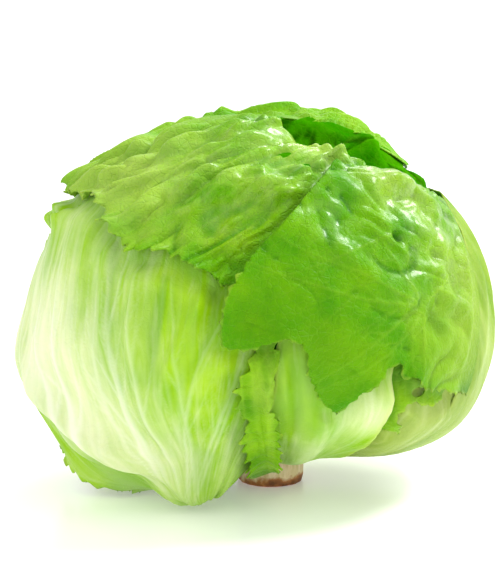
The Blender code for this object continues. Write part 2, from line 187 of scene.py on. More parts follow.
class Noise:
    """Seeded noise on a plane, from a table of random heights, one to a corner of a unit square."""

    SIZE = 64

    def __init__(self, seed: int) -> None:
        """Draw the table.

        Args:
            seed: Seed of the draw.
        """
        self.heights = np.random.default_rng(seed).uniform(-1, 1, (self.SIZE, self.SIZE))

    def smooth(self, x: Array, y: Array, octaves: int = 1) -> Array:
        """Value noise: corner heights blended by smooth steps, each octave half as high and wide.

        Args:
            x: First coordinates, in unit squares.
            y: Second coordinates.
            octaves: How many sizes of noise are added.

        Returns:
            Heights from -1 to 1.
        """
        total, height = np.zeros(np.shape(x)), 1.0
        for octave in range(octaves):
            u, v = x * 2**octave + 17.3 * octave, y * 2**octave + 9.1 * octave
            i, j = np.floor(u).astype(int), np.floor(v).astype(int)
            s, t = u - i, v - j
            s, t = s * s * (3 - 2 * s), t * t * (3 - 2 * t)
            i0, j0, i1, j1 = i % self.SIZE, j % self.SIZE, (i + 1) % self.SIZE, (j + 1) % self.SIZE
            low = self.heights[i0, j0] * (1 - s) + self.heights[i1, j0] * s
            high = self.heights[i0, j1] * (1 - s) + self.heights[i1, j1] * s
            total += height * (low * (1 - t) + high * t)
            height *= 0.5
        return total / (2 - 2.0 ** (1 - octaves))


@dataclass(frozen=True)
class Swelling:
    """A long smooth ridge of the whole head, or a hollow where its height is below zero."""

    azimuth: float
    elevation: float
    height: float
    half_length: float
    half_width: float
    heading: float = 0.0

    def rise(self, directions: Array) -> Array:
        """Height times exp(-(along / half length)^2 - (across / half width)^2).

        Args:
            directions: Unit vectors.

        Returns:
            Millimetres.
        """
        plane = Unrolled((self.azimuth, self.elevation), self.heading)
        along, across = plane.read(directions)
        return self.height * np.exp(-((along / self.half_length) ** 2) - (across / self.half_width) ** 2)


@dataclass(frozen=True)
class HeadForm:
    """The form that the whole head follows."""

    middle: tuple = (-7.0, 0.0, 69.0)
    lean: float = math.radians(12)
    outline: tuple = (
        (0, 87), (30, 80), (60, 74), (90, 70), (120, 69), (150, 78), (180, 83), (195, 90), (210, 88),
        (225, 86), (240, 75), (255, 65), (270, 62), (300, 67), (315, 79), (330, 89), (345, 90),
    )
    front_depth: float = 77.0
    back_depth: float = 73.0
    lowest_leaf: float = 0.3
    swellings: tuple = (
        Swelling(-26, -52, 15.0, 17.0, 14.0),
        Swelling(-60, -17, 4.0, 20.0, 6.0, -32.0),
        Swelling(-42, -31, 5.0, 16.0, 6.0, -50.0),
        Swelling(-62, -38, -4.0, 22.0, 7.0, -42.0),
        Swelling(48, 63, -9.0, 17.0, 8.0, -20.0),
        Swelling(70, 54, 5.0, 12.0, 4.5, 30.0),
        Swelling(79, 45, -7.0, 9.0, 5.5, -35.0),
        Swelling(86, 36, -4.0, 7.0, 4.5, -50.0),
        Swelling(-80, -50, -4.0, 20.0, 9.0, -40.0),
        Swelling(-8, -70, 4.0, 15.0, 13.0),
        Swelling(-86, 18, -2.2, 14.0, 9.0),
        Swelling(20, 42, 2.5, 22.0, 6.0),
        Swelling(55, 40, 3.0, 16.0, 6.0),
    )

    @cached_property
    def outline_curve(self) -> ClosedCurve:
        """The outline's radius by its angle in degrees."""
        angles, radii = np.array(self.outline, float).T
        return ClosedCurve(angles, radii[:, None], 360)

    def floor_radius(self, directions: Array) -> Array:
        """Distance from the middle to the level of the lowest leaf."""
        return (self.middle[2] - self.lowest_leaf) / np.maximum(-directions[:, 2], 0.01)

    def radius(self, directions: Array) -> Array:
        """Distance from the middle to the form.

        It is 1 / sqrt((1 - f^2) / side^2 + f^2 / depth^2), where f is the share of the direction
        towards the viewer and side the outline's radius, with the swellings added.

        Args:
            directions: Unit vectors.

        Returns:
            Millimetres.
        """
        rise = directions @ np.array((0, math.sin(self.lean), math.cos(self.lean)))
        forward = directions @ np.array((0, -math.cos(self.lean), math.sin(self.lean)))
        side = self.outline_curve.read(np.degrees(np.arctan2(rise, directions[:, 0])))[:, 0]
        depth = np.where(forward > 0, self.front_depth, self.back_depth)
        radius = 1 / np.sqrt((1 - forward**2) / side**2 + forward**2 / depth**2)
        radius += sum(swelling.rise(directions) for swelling in self.swellings)
        return np.minimum(radius, self.floor_radius(directions))

    def points(self, directions: Array, radius: Array) -> Array:
        """Points in metres at a radius along each direction."""
        return (np.array(self.middle) + directions * radius[:, None]) * METRES


@dataclass(frozen=True)
class Bell:
    """A weight round a direction, which fades over a spread in degrees."""

    azimuth: float
    elevation: float
    spread: float
    height: float = 1.0

    def read(self, directions: Array) -> Array:
        """Height times exp(-(degrees apart / spread)^2).

        Args:
            directions: Unit vectors.

        Returns:
            The weight at each.
        """
        away = unit((self.azimuth, self.elevation))[0]
        apart = np.degrees(np.arccos(np.clip(directions @ away, -1, 1)))
        return self.height * np.exp(-((apart / self.spread) ** 2))


def bells(weights: tuple, directions: Array) -> Array:
    """The sum of several bells at each direction."""
    return sum((bell.read(directions) for bell in weights), np.zeros(len(directions)))


@dataclass(frozen=True)
class VeinTree:
    """Branching veins, drawn in the plane unrolled round a hub."""

    hub: tuple
    mains: tuple  # (heading in degrees, length) of each main vein
    seed: int
    width: float = 0.8  # of a main vein at its root
    spacing: float = 8.0  # between branches
    branch_turn: float = 46.0  # degrees
    wander: float = 1.0  # how much the veins sway
    bare: float = 1.0  # how far from the hub they reach their width
    step: float = 3.0
    depth: int = 2  # how many times a vein branches

    def segments(self) -> Array:
        """Grow the veins step by step, each thinning to 0.4 of its width, with branches by turns.

        Returns:
            Straight pieces, as rows of start x, start y, end x, end y and width.
        """
        draw = np.random.default_rng(self.seed)
        growing = [(0.0, 0.0, heading, length, self.width, 0) for heading, length in self.mains]
        rows = []
        while growing:
            x, y, heading, length, width, depth = growing.pop()
            side, gone, due = 1 if draw.random() < 0.5 else -1, 0.0, self.spacing * draw.uniform(0.5, 1.1)
            sway = draw.normal(0, 1.2)
            while gone < length:
                heading += self.wander * (sway + draw.normal(0, 4.0))
                thick = width * (1 - 0.6 * gone / length) * min(1.0, 0.2 + math.hypot(x, y) / self.bare)
                turn = math.radians(heading)
                end = x + self.step * math.cos(turn), y + self.step * math.sin(turn)
                rows.append((x, y, *end, thick))
                x, y = end
                gone += self.step
                if gone > due and depth < self.depth:
                    aside = side * self.branch_turn * draw.uniform(0.75, 1.2)
                    reach = (length - gone) * draw.uniform(0.45, 0.75)
                    growing.append((x, y, heading + aside, reach, thick * 0.7, depth + 1))
                    side, due = -side, gone + self.spacing * draw.uniform(0.7, 1.3)
        return np.array(rows)

    def ridge(self, directions: Array) -> Array:
        """Height of the nearest vein: its share of the widest times exp(-(distance / width)^2).

        Args:
            directions: Unit vectors.

        Returns:
            Heights from 0 to 1.
        """
        x, y = (part.astype(np.float32) for part in Unrolled(self.hub).read(directions))
        x0, y0, x1, y1, width = self.segments().astype(np.float32).T
        run, rise = x1 - x0, y1 - y0
        square = run**2 + rise**2
        height = np.zeros(len(x))
        for part in np.array_split(np.arange(len(x)), max(1, len(x) // 3000)):
            ax, ay = x[part, None] - x0, y[part, None] - y0
            share = np.clip((ax * run + ay * rise) / square, 0, 1)
            apart = (ax - share * run) ** 2 + (ay - share * rise) ** 2
            height[part] = ((width / self.width) * np.exp(-apart / width**2)).max(axis=1)
        return height


@dataclass(frozen=True)
class Hole:
    """A hole torn through a leaf: its direction and half sizes in millimetres."""

    azimuth: float
    elevation: float
    half_width: float
    half_height: float


@dataclass(frozen=True)
class Edge:
    """How a leaf's margin is cut and waved, in millimetres."""

    tooth_pitch: float = 4.5
    tooth_depth: float = 2.2
    ruffle: float = 2.2
    ruffle_pitch: float = 24.0
    frill: float = 0.7
    frill_pitch: float = 5.5


@dataclass(frozen=True)
class Folds:
    """Folds of a leaf: their size across and along, and their height.

    They follow the leaf's fan, or lie at a heading in the plane unrolled round its centre.
    """

    across: float
    along: float
    height: float
    heading: float = None


class Tone(Enum):
    """Which of the finishes a leaf takes."""

    PALE = "pale wrapper leaf"
    GREEN = "green blade"
    CAP = "puckered cap blade"
    STREAKED = "streaked side leaf"
    CURLED = "curled bright blade"
    HEART = "heart leaf"


@dataclass
class Relief:
    """What stands out of a leaf, and what its finish shows of it, with the shade that is painted in its
    creases and hollows.
    """

    height: Array
    vein: Array
    painted_shade: Array


@dataclass
class Leaf:
    """One leaf: its margin, its ribs, veins and folds, and where its green pales."""

    name: str
    tone: Tone
    centre: tuple
    margin: list
    rib_end: tuple
    seed: int
    fan: tuple = STEM_DIRECTION  # the root of its fan of veins
    spacing: float = 1.1  # of the lattice's points
    sinking: float = 2.3  # how deep it presses the leaves under it
    drape: float = 9.0  # how far beside its edge they rise again
    edge: Edge = Edge()
    rib_height: float = 2.2
    rib_width: float = 8.0
    streak_height: float = 0.3
    streak_width: float = 3.4
    pleats: Folds = Folds(9.0, 55.0, 0.8)
    crumple: Folds | None = None
    veins: tuple = ()
    vein_height: float = 0.4
    forms: tuple = ()  # ridges and hollows of its own
    lifts: tuple = ()  # where its edge stands off
    frills: tuple = ()  # where its edge frills more
    plain: tuple = ()  # where its edge is uncut and rolls under
    roll: float = 1.6  # how deep it rolls
    calm: tuple = ()  # where it doesn't crumple
    shines: tuple = ()  # where it is wet
    holes: tuple = ()
    paleness: float = 0.5
    tints: tuple = ()  # where it is paler, or greener below zero

    MARGIN_STEP = 0.5
    CURL_REACH = 14.0  # how far inside the edge its waves begin
    FRILL_REACH = 7.0
    ROLL_REACH = 4.0
    MEAN_FOLD = 0.38  # the mean height of a crumpled field
    STEM_ZONE = (-0.93, -0.75)  # height of a direction where teeth and waves begin

    def __post_init__(self) -> None:
        """Work out the margin as evenly spaced samples with their outward normals."""
        corners = unit(self.margin)
        along, across = Unrolled(self.centre).read(corners)
        if np.sum(along * np.roll(across, -1) - np.roll(along, -1) * across) < 0:
            corners = corners[::-1]
        steps = np.linalg.norm(np.roll(corners, -1, axis=0) - corners, axis=1) * MEAN_RADIUS
        length = steps.sum()
        curve = ClosedCurve(np.concatenate(((0,), np.cumsum(steps[:-1]))), corners, length)
        self.arc = np.linspace(0, length, int(length / self.MARGIN_STEP), endpoint=False)
        self.line = normalised(curve.read(self.arc))
        self.tangents = normalised(np.roll(self.line, -1, axis=0) - np.roll(self.line, 1, axis=0))
        self.normals = normalised(np.cross(self.tangents, self.line))
        self.noise = Noise(self.seed)

    def outside(self, directions: Array) -> tuple:
        """How far each direction lies outside the smooth margin.

        Args:
            directions: Unit vectors.

        Returns:
            Millimetres outside (negative inside), the nearest sample and the running length there.
        """
        nearest = np.empty(len(directions), int)
        line = self.line.astype(np.float32).T
        for part in np.array_split(np.arange(len(directions)), max(1, len(directions) // 20000)):
            nearest[part] = np.argmax(directions[part].astype(np.float32) @ line, axis=1)
        offset = (directions - self.line[nearest]) * MEAN_RADIUS
        across = np.sum(offset * self.normals[nearest], axis=1)
        arc = self.arc[nearest] + np.sum(offset * self.tangents[nearest], axis=1)
        direct = np.linalg.norm(offset, axis=1)
        far = np.where(direct < 3, across, np.copysign(direct, across))
        return far, nearest, np.where(direct < 3, arc, self.arc[nearest])

    def plain_share(self, directions: Array) -> Array:
        """Where the margin is plain and rolls under, 0 to 1."""
        weights = [bell.read(directions) for bell in self.plain] + [np.zeros(len(directions))]
        return smooth_step(0.2, 0.7, np.maximum.reduce(weights))

    def at_work(self, directions: Array) -> Array:
        """Share of the margin's teeth and waves: none round the stem or where it is plain."""
        return smooth_step(*self.STEM_ZONE, directions[:, 2]) * (1 - self.plain_share(directions))

    def tooth_cut(self, arc: Array) -> Array:
        """How far the margin is cut back: two uneven saw waves and fine noise along it.

        Args:
            arc: Running lengths along the margin.

        Returns:
            Millimetres.
        """
        shift = np.random.default_rng(self.seed).uniform(0, 1, 3)
        pitch = self.edge.tooth_pitch
        wander = arc + 0.35 * pitch * self.noise.smooth(arc / (2.1 * pitch), np.full(len(arc), 8.5))
        small = np.abs(np.mod(wander / pitch + shift[0], 1) - 0.5) * 2
        large = np.abs(np.mod(wander / (3.3 * pitch) + shift[1], 1) - 0.5) * 2
        uneven = 0.6 + 0.4 * np.sin(arc / 23 + 6 * shift[2])
        fine = self.noise.smooth(arc * 2.6 / pitch, np.full(len(arc), 3.5), 2)
        return self.edge.tooth_depth * (0.5 * small + 0.6 * large * uneven + 0.3 * fine + 0.1)

    def wave(self, directions: Array, arc: Array, outside: Array) -> Array:
        """Height of the margin's waves: long ruffles, a fine frill at the edge and its lifts.

        Args:
            directions: Unit vectors.
            arc: Running lengths along the margin.
            outside: Millimetres outside the margin.

        Returns:
            Millimetres, below zero where the edge rolls under.
        """
        shift = np.random.default_rng(self.seed + 100).uniform(0, 2 * math.pi, 2)
        ruffle = 0.5 + 0.5 * np.sin(2 * math.pi * arc / self.edge.ruffle_pitch + shift[0])
        slow = 0.6 + 0.4 * np.sin(2 * math.pi * arc / (3.3 * self.edge.ruffle_pitch) + shift[1])
        frill = 0.5 + 0.5 * self.noise.smooth(arc / self.edge.frill_pitch, outside / 9 + 20, 2)
        fine = 2 * self.edge.frill + bells(self.frills, directions)
        curl = np.clip(1 + outside / self.CURL_REACH, 0, 1) ** 2
        waves = self.edge.ruffle * ruffle * slow * curl
        waves += fine * frill * smooth_step(-self.FRILL_REACH, 0, outside)
        rolled = self.roll * smooth_step(-self.ROLL_REACH, 0, outside) ** 2 * self.plain_share(directions)
        return waves * self.at_work(directions) + bells(self.lifts, directions) * curl - rolled

    def fan_coordinates(self, directions: Array) -> tuple:
        """Millimetres across the fan of veins, as far apart as at its reach, and along it."""
        along, across = Unrolled(self.fan).read(directions)
        return np.arctan2(across, along) * FAN_REACH, np.hypot(along, across)

    def streaks(self, across: Array, along: Array) -> Array:
        """Parallel veins from the fan's root.

        They are the zero lines of a noise that is stretched along the fan. Finer ones come in
        between them where the fan is wide.

        Args:
            across: Millimetres across the fan.
            along: Millimetres along it.

        Returns:
            0 between the veins and 1 on them.
        """
        sway = 2.5 * self.noise.smooth(along / 30, across / 40)
        x = (across + sway) / self.streak_width
        strong = 0.25 + 0.75 * smooth_step(-0.4, 0.5, self.noise.smooth(x / 2.6 + 50, along / 45))
        coarse = 1 - np.abs(self.noise.smooth(x, along / 70)) / 0.45
        fine = 1 - np.abs(self.noise.smooth(1.6 * x + 31, along / 50 + 7)) / 0.55
        return np.maximum(coarse * strong, 0.6 * fine * smooth_step(50, 90, along)).clip(0, 1)

    def rib(self, directions: Array) -> Array:
        """The midrib from the stem to its end: exp(-(across / width)^2), narrowing and sinking.

        Args:
            directions: Unit vectors.

        Returns:
            1 on its crest at the foot, 0 beside it.
        """
        start, end = unit([STEM_DIRECTION, self.rib_end])
        length = math.acos(start @ end)
        ahead = (end - start * math.cos(length)) / math.sin(length)
        along = np.arctan2(directions @ ahead, directions @ start) / length
        across = np.arcsin(directions @ np.cross(start, ahead)) * MEAN_RADIUS
        width = self.rib_width * (1 - 0.65 * np.clip(along, 0, 1))
        fade = (1 - smooth_step(0.35, 1.05, along)) * smooth_step(-0.15, 0.05, along)
        return fade * np.exp(-((across / width) ** 2))

    def folded(self, directions: Array, across: Array, along: Array) -> Array:
        """Rounded folds that meet in sharp creases: the size of a noise bent by another one.

        Args:
            directions: Unit vectors.
            across: Millimetres across the fan.
            along: Millimetres along it.

        Returns:
            0 in the creases and up to 1 on the folds.
        """
        if self.crumple.heading is not None:
            along, across = Unrolled(self.centre, self.crumple.heading).read(directions)
        x, y = across / self.crumple.across, along / self.crumple.along
        bent_x = x + 0.6 * self.noise.smooth(x * 0.7 + 5, y * 0.9)
        bent_y = y + 0.5 * self.noise.smooth(x * 0.8, y * 0.8 + 11)
        coarse = np.abs(self.noise.smooth(bent_x, bent_y))
        fine = np.abs(self.noise.smooth(2.1 * bent_x + 40, 2.1 * bent_y))
        return np.sqrt(coarse**2 + 0.0025) * 0.75 + np.sqrt(fine**2 + 0.0025) * 0.45

    def relief(self, directions: Array) -> Relief:
        """All that stands out of the leaf apart from its margin's waves.

        Args:
            directions: Unit vectors.

        Returns:
            Its height in millimetres, where its veins are, and where shade is painted
            in its creases and hollows, 0 to 1.
        """
        across, along = self.fan_coordinates(directions)
        rib, streaks = self.rib(directions), self.streaks(across, along) * smooth_step(8, 30, along)
        veins = np.zeros(len(directions))
        for tree in self.veins:
            veins = np.maximum(veins, tree.ridge(directions))
        pleats = self.noise.smooth(across / self.pleats.across + 3, along / self.pleats.along + 13, 2)
        height = self.rib_height * rib + self.streak_height * streaks + self.vein_height * veins
        forms = sum((form.rise(directions) for form in self.forms), np.zeros(len(directions)))
        height += self.pleats.height * (pleats + 0.2) + forms
        # Painted shade: the hollows of its own forms are painted darker.
        painted_shade = 0.8 * smooth_step(0.4, 2.2, -forms)
        if self.crumple:
            folds = self.folded(directions, across, along)
            share = 1 - np.clip(bells(self.calm, directions), 0, 1)
            if self.crumple.heading is None:
                share *= smooth_step(12, 42, along)
            height += self.crumple.height * (folds - self.MEAN_FOLD) * share
            # Painted shade: the creases between its folds are painted darker.
            painted_shade = np.maximum(painted_shade, (1 - smooth_step(0.05, 0.26, folds)) * share)
        vein = np.maximum(np.maximum(0.6 * rib, veins), streaks * min(1.0, self.streak_height / 0.3))
        return Relief(height, vein, painted_shade)


@dataclass
class Wrapping:
    """The leaves in the order in which they wrap the heart, and how they lie on each other."""

    form: HeadForm
    leaves: list
    stem_radius: float = 13.8  # of the room that the leaves leave for the stem
    underside: float = 62.0
    step: float = 2.3
    rim_thickness: float = 0.45
    thickening: float = 0.5
    thick_inside: float = 9.0  # how far inside the edge the thickening ends
    least_gap: float = 0.8  # of a leaf over the one under it
    bare_foot: tuple = (-0.96, -0.8)  # height of a direction where the relief begins

    def over(self, leaf: Leaf, directions: Array) -> tuple:
        """What the leaves outside this one do to it.

        Args:
            leaf: The leaf.
            directions: Unit vectors.

        Returns:
            How deep they sink it in millimetres, and how far it lies in the open, 0 to 1.
        """
        sunk, open_air = np.zeros(len(directions)), np.ones(len(directions))
        for other in self.leaves[self.leaves.index(leaf) + 1 :]:
            outside, _, _ = other.outside(directions)
            sunk += other.sinking * (1 - smooth_step(1.0, other.drape, outside))
            open_air *= smooth_step(0.0, 6.0, outside)
        return sunk, open_air

    def trim(self, leaf: Leaf, directions: Array) -> tuple:
        """How far directions lie outside the toothed edge, or inside a hole or the stem's room.

        Args:
            leaf: The leaf.
            directions: Unit vectors.

        Returns:
            Millimetres, and the unit vectors in which they grow.
        """
        outside, nearest, arc = leaf.outside(directions)
        outside = outside + leaf.tooth_cut(arc) * leaf.at_work(directions)
        way = leaf.normals[nearest]
        layers_outside = len(self.leaves) - 1 - self.leaves.index(leaf)
        room = math.asin(self.stem_radius / (self.underside - self.step * layers_outside)) * MEAN_RADIUS
        gaps = [Hole(*STEM_DIRECTION, room, room), *leaf.holes]
        for gap in gaps:
            centre = (gap.azimuth, gap.elevation)
            x, y = Unrolled(centre).read(directions)
            inside = 1 - np.hypot(x / gap.half_width, y / gap.half_height)
            inside *= min(gap.half_width, gap.half_height)
            inwards = unit(centre)[0] - directions
            inwards -= directions * np.sum(inwards * directions, axis=1)[:, None]
            deeper = inside > outside
            outside = np.where(deeper, inside, outside)
            way = np.where(deeper[:, None], normalised(inwards + 1e-9), way)
        return outside, way

    def lattice(self, leaf: Leaf) -> tuple:
        """An even lattice of triangles over the leaf, its rim moved onto the edge.

        Args:
            leaf: The leaf.

        Returns:
            Directions, and triangles as rows of three of them, counter-clockwise from outside.
        """
        plane, spacing = Unrolled(leaf.centre), leaf.spacing
        x, y = plane.read(leaf.line)
        columns = np.arange(x.min() - spacing, x.max() + 2 * spacing, spacing)
        rows = np.arange(y.min() - spacing, y.max() + 2 * spacing, spacing * 0.866)
        x, y = np.meshgrid(columns, rows)
        x = x + 0.5 * spacing * (np.arange(len(rows)) % 2)[:, None]
        directions = plane.directions(x.ravel(), y.ravel())
        index = np.arange(x.size).reshape(x.shape)
        near, far, above, beyond = index[:-1, :-1], index[:-1, 1:], index[1:, :-1], index[1:, 1:]
        even = (np.arange(len(rows) - 1) % 2 == 0)[:, None, None]
        first = np.where(even, np.stack((near, far, above), 2), np.stack((near, far, beyond), 2))
        second = np.where(even, np.stack((far, beyond, above), 2), np.stack((near, beyond, above), 2))
        faces = np.concatenate((first.reshape(-1, 3), second.reshape(-1, 3)))
        wraps = (np.hypot(x, y).ravel() > 0.95 * math.pi * MEAN_RADIUS)[faces].any(axis=1)
        outside, _ = self.trim(leaf, directions)
        faces = without_pinches(faces[(outside[faces].mean(axis=1) < 0) & ~wraps])
        used, faces = np.unique(faces, return_inverse=True)
        directions, faces = directions[used], faces.reshape(-1, 3)
        rim = np.unique(rim_edges(faces))
        for _ in range(3):
            outside, way = self.trim(leaf, directions[rim])
            directions[rim] = normalised(directions[rim] - way * (outside / MEAN_RADIUS)[:, None])
        return directions, faces

    def blade(self, leaf: Leaf) -> "Sheet":
        """The leaf's outer face: the form, less how deep it is sunk, with its relief and waves.

        Args:
            leaf: The leaf.

        Returns:
            The face with its thickness and what its finish needs to know of it.
        """
        directions, faces = self.lattice(leaf)
        sunk, open_air = self.over(leaf, directions)
        outside, _, arc = leaf.outside(directions)
        relief = leaf.relief(directions)
        height = relief.height * smooth_step(*self.bare_foot, directions[:, 2])
        height += leaf.wave(directions, arc, outside)
        if leaf.sinking > self.least_gap:
            height = np.maximum(height, self.least_gap - leaf.sinking)
        radius = self.form.radius(directions) - sunk + height * open_air
        radius = np.minimum(radius, self.form.floor_radius(directions) - sunk)
        across, along = leaf.fan_coordinates(directions)
        thickness = self.rim_thickness + self.thickening * smooth_step(0, self.thick_inside, -outside)
        return Sheet(
            points=self.form.points(directions, radius),
            faces=faces,
            thickness=thickness * METRES,
            across=across,
            along=along,
            values={
                "pale": np.clip(leaf.paleness + bells(leaf.tints, directions), 0, 1),
                "vein": relief.vein,
                # Painted shade: also darker a few millimetres inside the edges of the leaves over it.
                "painted_shade": np.maximum(relief.painted_shade, 0.7 * (1 - open_air)),
                "edge": smooth_step(-6, 0, outside) * (1 - leaf.plain_share(directions)),
                "shine": np.clip(bells(leaf.shines, directions), 0, 1),
            },
        )


def rim_edges(faces: Array) -> Array:
    """Edges that bound only one triangle.

    Args:
        faces: Triangles.

    Returns:
        The two points of each edge, one edge to a row.
    """
    edges = np.sort(np.concatenate((faces[:, :2], faces[:, 1:], faces[:, ::2])), axis=1)
    edges, count = np.unique(edges, axis=0, return_counts=True)
    return edges[count == 1]


def without_pinches(faces: Array) -> Array:
    """Drop the triangles at points where the rim meets itself.

    Args:
        faces: Triangles.

    Returns:
        Those that are left.
    """
    while True:
        ends, count = np.unique(rim_edges(faces), return_counts=True)
        pinched = np.isin(faces, ends[count > 2]).any(axis=1)
        if not pinched.any():
            return faces
        faces = faces[~pinched]


def vertex_normals(points: Array, faces: Array) -> Array:
    """Unit normals of the points, each the sum of its triangles' area vectors.

    Args:
        points: Points, one to a row.
        faces: Triangles.

    Returns:
        Unit vectors, one to a row.
    """
    a, b, c = (points[faces[:, k]] for k in range(3))
    area = np.cross(b - a, c - a)
    normals = np.zeros_like(points)
    for k in range(3):
        np.add.at(normals, faces[:, k], area)
    return normalised(normals + 1e-12)


@dataclass
class Sheet:
    """An open face of triangles with its thickness and its values, to be closed into a blade."""

    points: Array
    faces: Array
    thickness: Array
    across: Array
    along: Array
    values: dict

    def closed(self) -> tuple:
        """The outer face, the inner one a thickness under it, and the strip that joins their rims.

        Returns:
            Points, triangles, and the row of the sheet that each point comes from.
        """
        inner = self.points - vertex_normals(self.points, self.faces) * self.thickness[:, None]
        count = len(self.points)
        edges = np.concatenate((self.faces[:, :2], self.faces[:, 1:], self.faces[:, [2, 0]]))
        key = np.sort(edges, axis=1)
        key = key[:, 0] * count + key[:, 1]
        _, first, uses = np.unique(key, return_index=True, return_counts=True)
        start, end = edges[first[uses == 1]].T
        strip = np.concatenate(
            (np.stack((end, start, start + count), 1), np.stack((end, start + count, end + count), 1))
        )
        faces = np.concatenate((self.faces, self.faces[:, ::-1] + count, strip))
        return np.concatenate((self.points, inner)), faces, np.tile(np.arange(count), 2)

    def piece(self, name: str) -> bpy.types.Object:
        """The closed blade, with its values as attributes and its fan as a UV map.

        Args:
            name: The piece's name.

        Returns:
            The object.
        """
        points, faces, rows = self.closed()
        made = mesh_object(name, points, faces)
        keep_values(made, {key: value[rows] for key, value in self.values.items()})
        corners = rows[faces]
        across = self.across[corners]
        split = np.ptp(across, axis=1) > math.pi * FAN_REACH
        across += np.where(split[:, None] & (across < 0), 2 * math.pi * FAN_REACH, 0)
        fan = np.stack((across, self.along[corners]), axis=2) * METRES
        made.data.uv_layers.new(name="fan").data.foreach_set("uv", fan.astype(np.float32).ravel())
        return made


def mesh_object(name: str, points: Array, faces: Array) -> bpy.types.Object:
    """A smooth shaded object at the origin.

    Args:
        name: The piece's name.
        points: Points in metres.
        faces: Triangles.

    Returns:
        The object, linked to the scene.
    """
    mesh = bpy.data.meshes.new(name)
    mesh.vertices.add(len(points))
    mesh.vertices.foreach_set("co", points.astype(np.float32).ravel())
    mesh.loops.add(faces.size)
    mesh.loops.foreach_set("vertex_index", faces.astype(np.int32).ravel())
    mesh.polygons.add(len(faces))
    mesh.polygons.foreach_set("loop_start", np.arange(0, faces.size, 3, dtype=np.int32))
    mesh.update(calc_edges=True)
    mesh.validate()
    mesh.shade_smooth()
    made = bpy.data.objects.new(name, mesh)
    bpy.context.scene.collection.objects.link(made)
    return made


def keep_values(made: bpy.types.Object, values: dict) -> None:
    """Keep values of the points as attributes, for the materials.

    Args:
        made: The object.
        values: Name of each attribute to its values.
    """
    for key, value in values.items():
        layer = made.data.attributes.new(key, "FLOAT", "POINT")
        layer.data.foreach_set("value", value.astype(np.float32))


def capped_grid(rows: int, columns: int) -> Array:
    """Triangles of a closed ball: rows of points round it from the bottom up, and two poles.

    Args:
        rows: How many rows.
        columns: Points in each. The two poles come after all of them, the lower one first.

    Returns:
        Triangles that face outwards.
    """
    index = np.arange(rows * columns).reshape(rows, columns)
    right = np.roll(index, -1, axis=1)
    a, b, c, d = index[:-1], right[:-1], right[1:], index[1:]
    faces = [np.stack((a, b, c), 2).reshape(-1, 3), np.stack((a, c, d), 2).reshape(-1, 3)]
    low, high = np.full(columns, index.size), np.full(columns, index.size + 1)
    faces += [np.stack((low, right[0], index[0]), 1), np.stack((high, index[-1], right[-1]), 1)]
    return np.concatenate(faces)


def linear(colour: str) -> tuple:
    """A hex sRGB colour as linear red, green, blue and alpha.

    Args:
        colour: Six hex digits after a hash.

    Returns:
        Each share s is s / 12.92 where it is small, and ((s + 0.055) / 1.055)^2.4 otherwise.
    """
    shares = [int(colour[i : i + 2], 16) / 255 for i in (1, 3, 5)]
    return (*(s / 12.92 if s <= 0.04045 else ((s + 0.055) / 1.055) ** 2.4 for s in shares), 1.0)


class Nodes:
    """A material's node tree, with one way to add to it."""

    MIX = {"data_type": "RGBA", "out": 2}  # settings and output of a node that mixes colours

    def __init__(self, name: str) -> None:
        """Start a material with a Principled shader.

        Args:
            name: The material's name.
        """
        self.material = bpy.data.materials.new(name)
        self.material.use_nodes = True
        self.tree = self.material.node_tree
        self.shader = self.tree.nodes["Principled BSDF"]

    def add(self, kind: str, inputs: dict, out: int | str = 0, **settings: object) -> bpy.types.NodeSocket:
        """Add a node.

        Args:
            kind: The node's type, without its ShaderNode prefix.
            inputs: Input name or number to a socket that it is linked to, or to a plain value.
            out: Number or name of the output that is wanted.
            settings: The node's own properties.

        Returns:
            The output.
        """
        node = self.tree.nodes.new("ShaderNode" + kind)
        for key, value in settings.items():
            setattr(node, key, value)
        self.join(node, inputs)
        return node.outputs[out]

    def join(self, node: bpy.types.Node, inputs: dict) -> None:
        """Link or set a node's inputs.

        Args:
            node: The node.
            inputs: Input name or number to a socket or a plain value.
        """
        for key, value in inputs.items():
            if isinstance(value, bpy.types.NodeSocket):
                self.tree.links.new(value, node.inputs[key])
            else:
                node.inputs[key].default_value = value


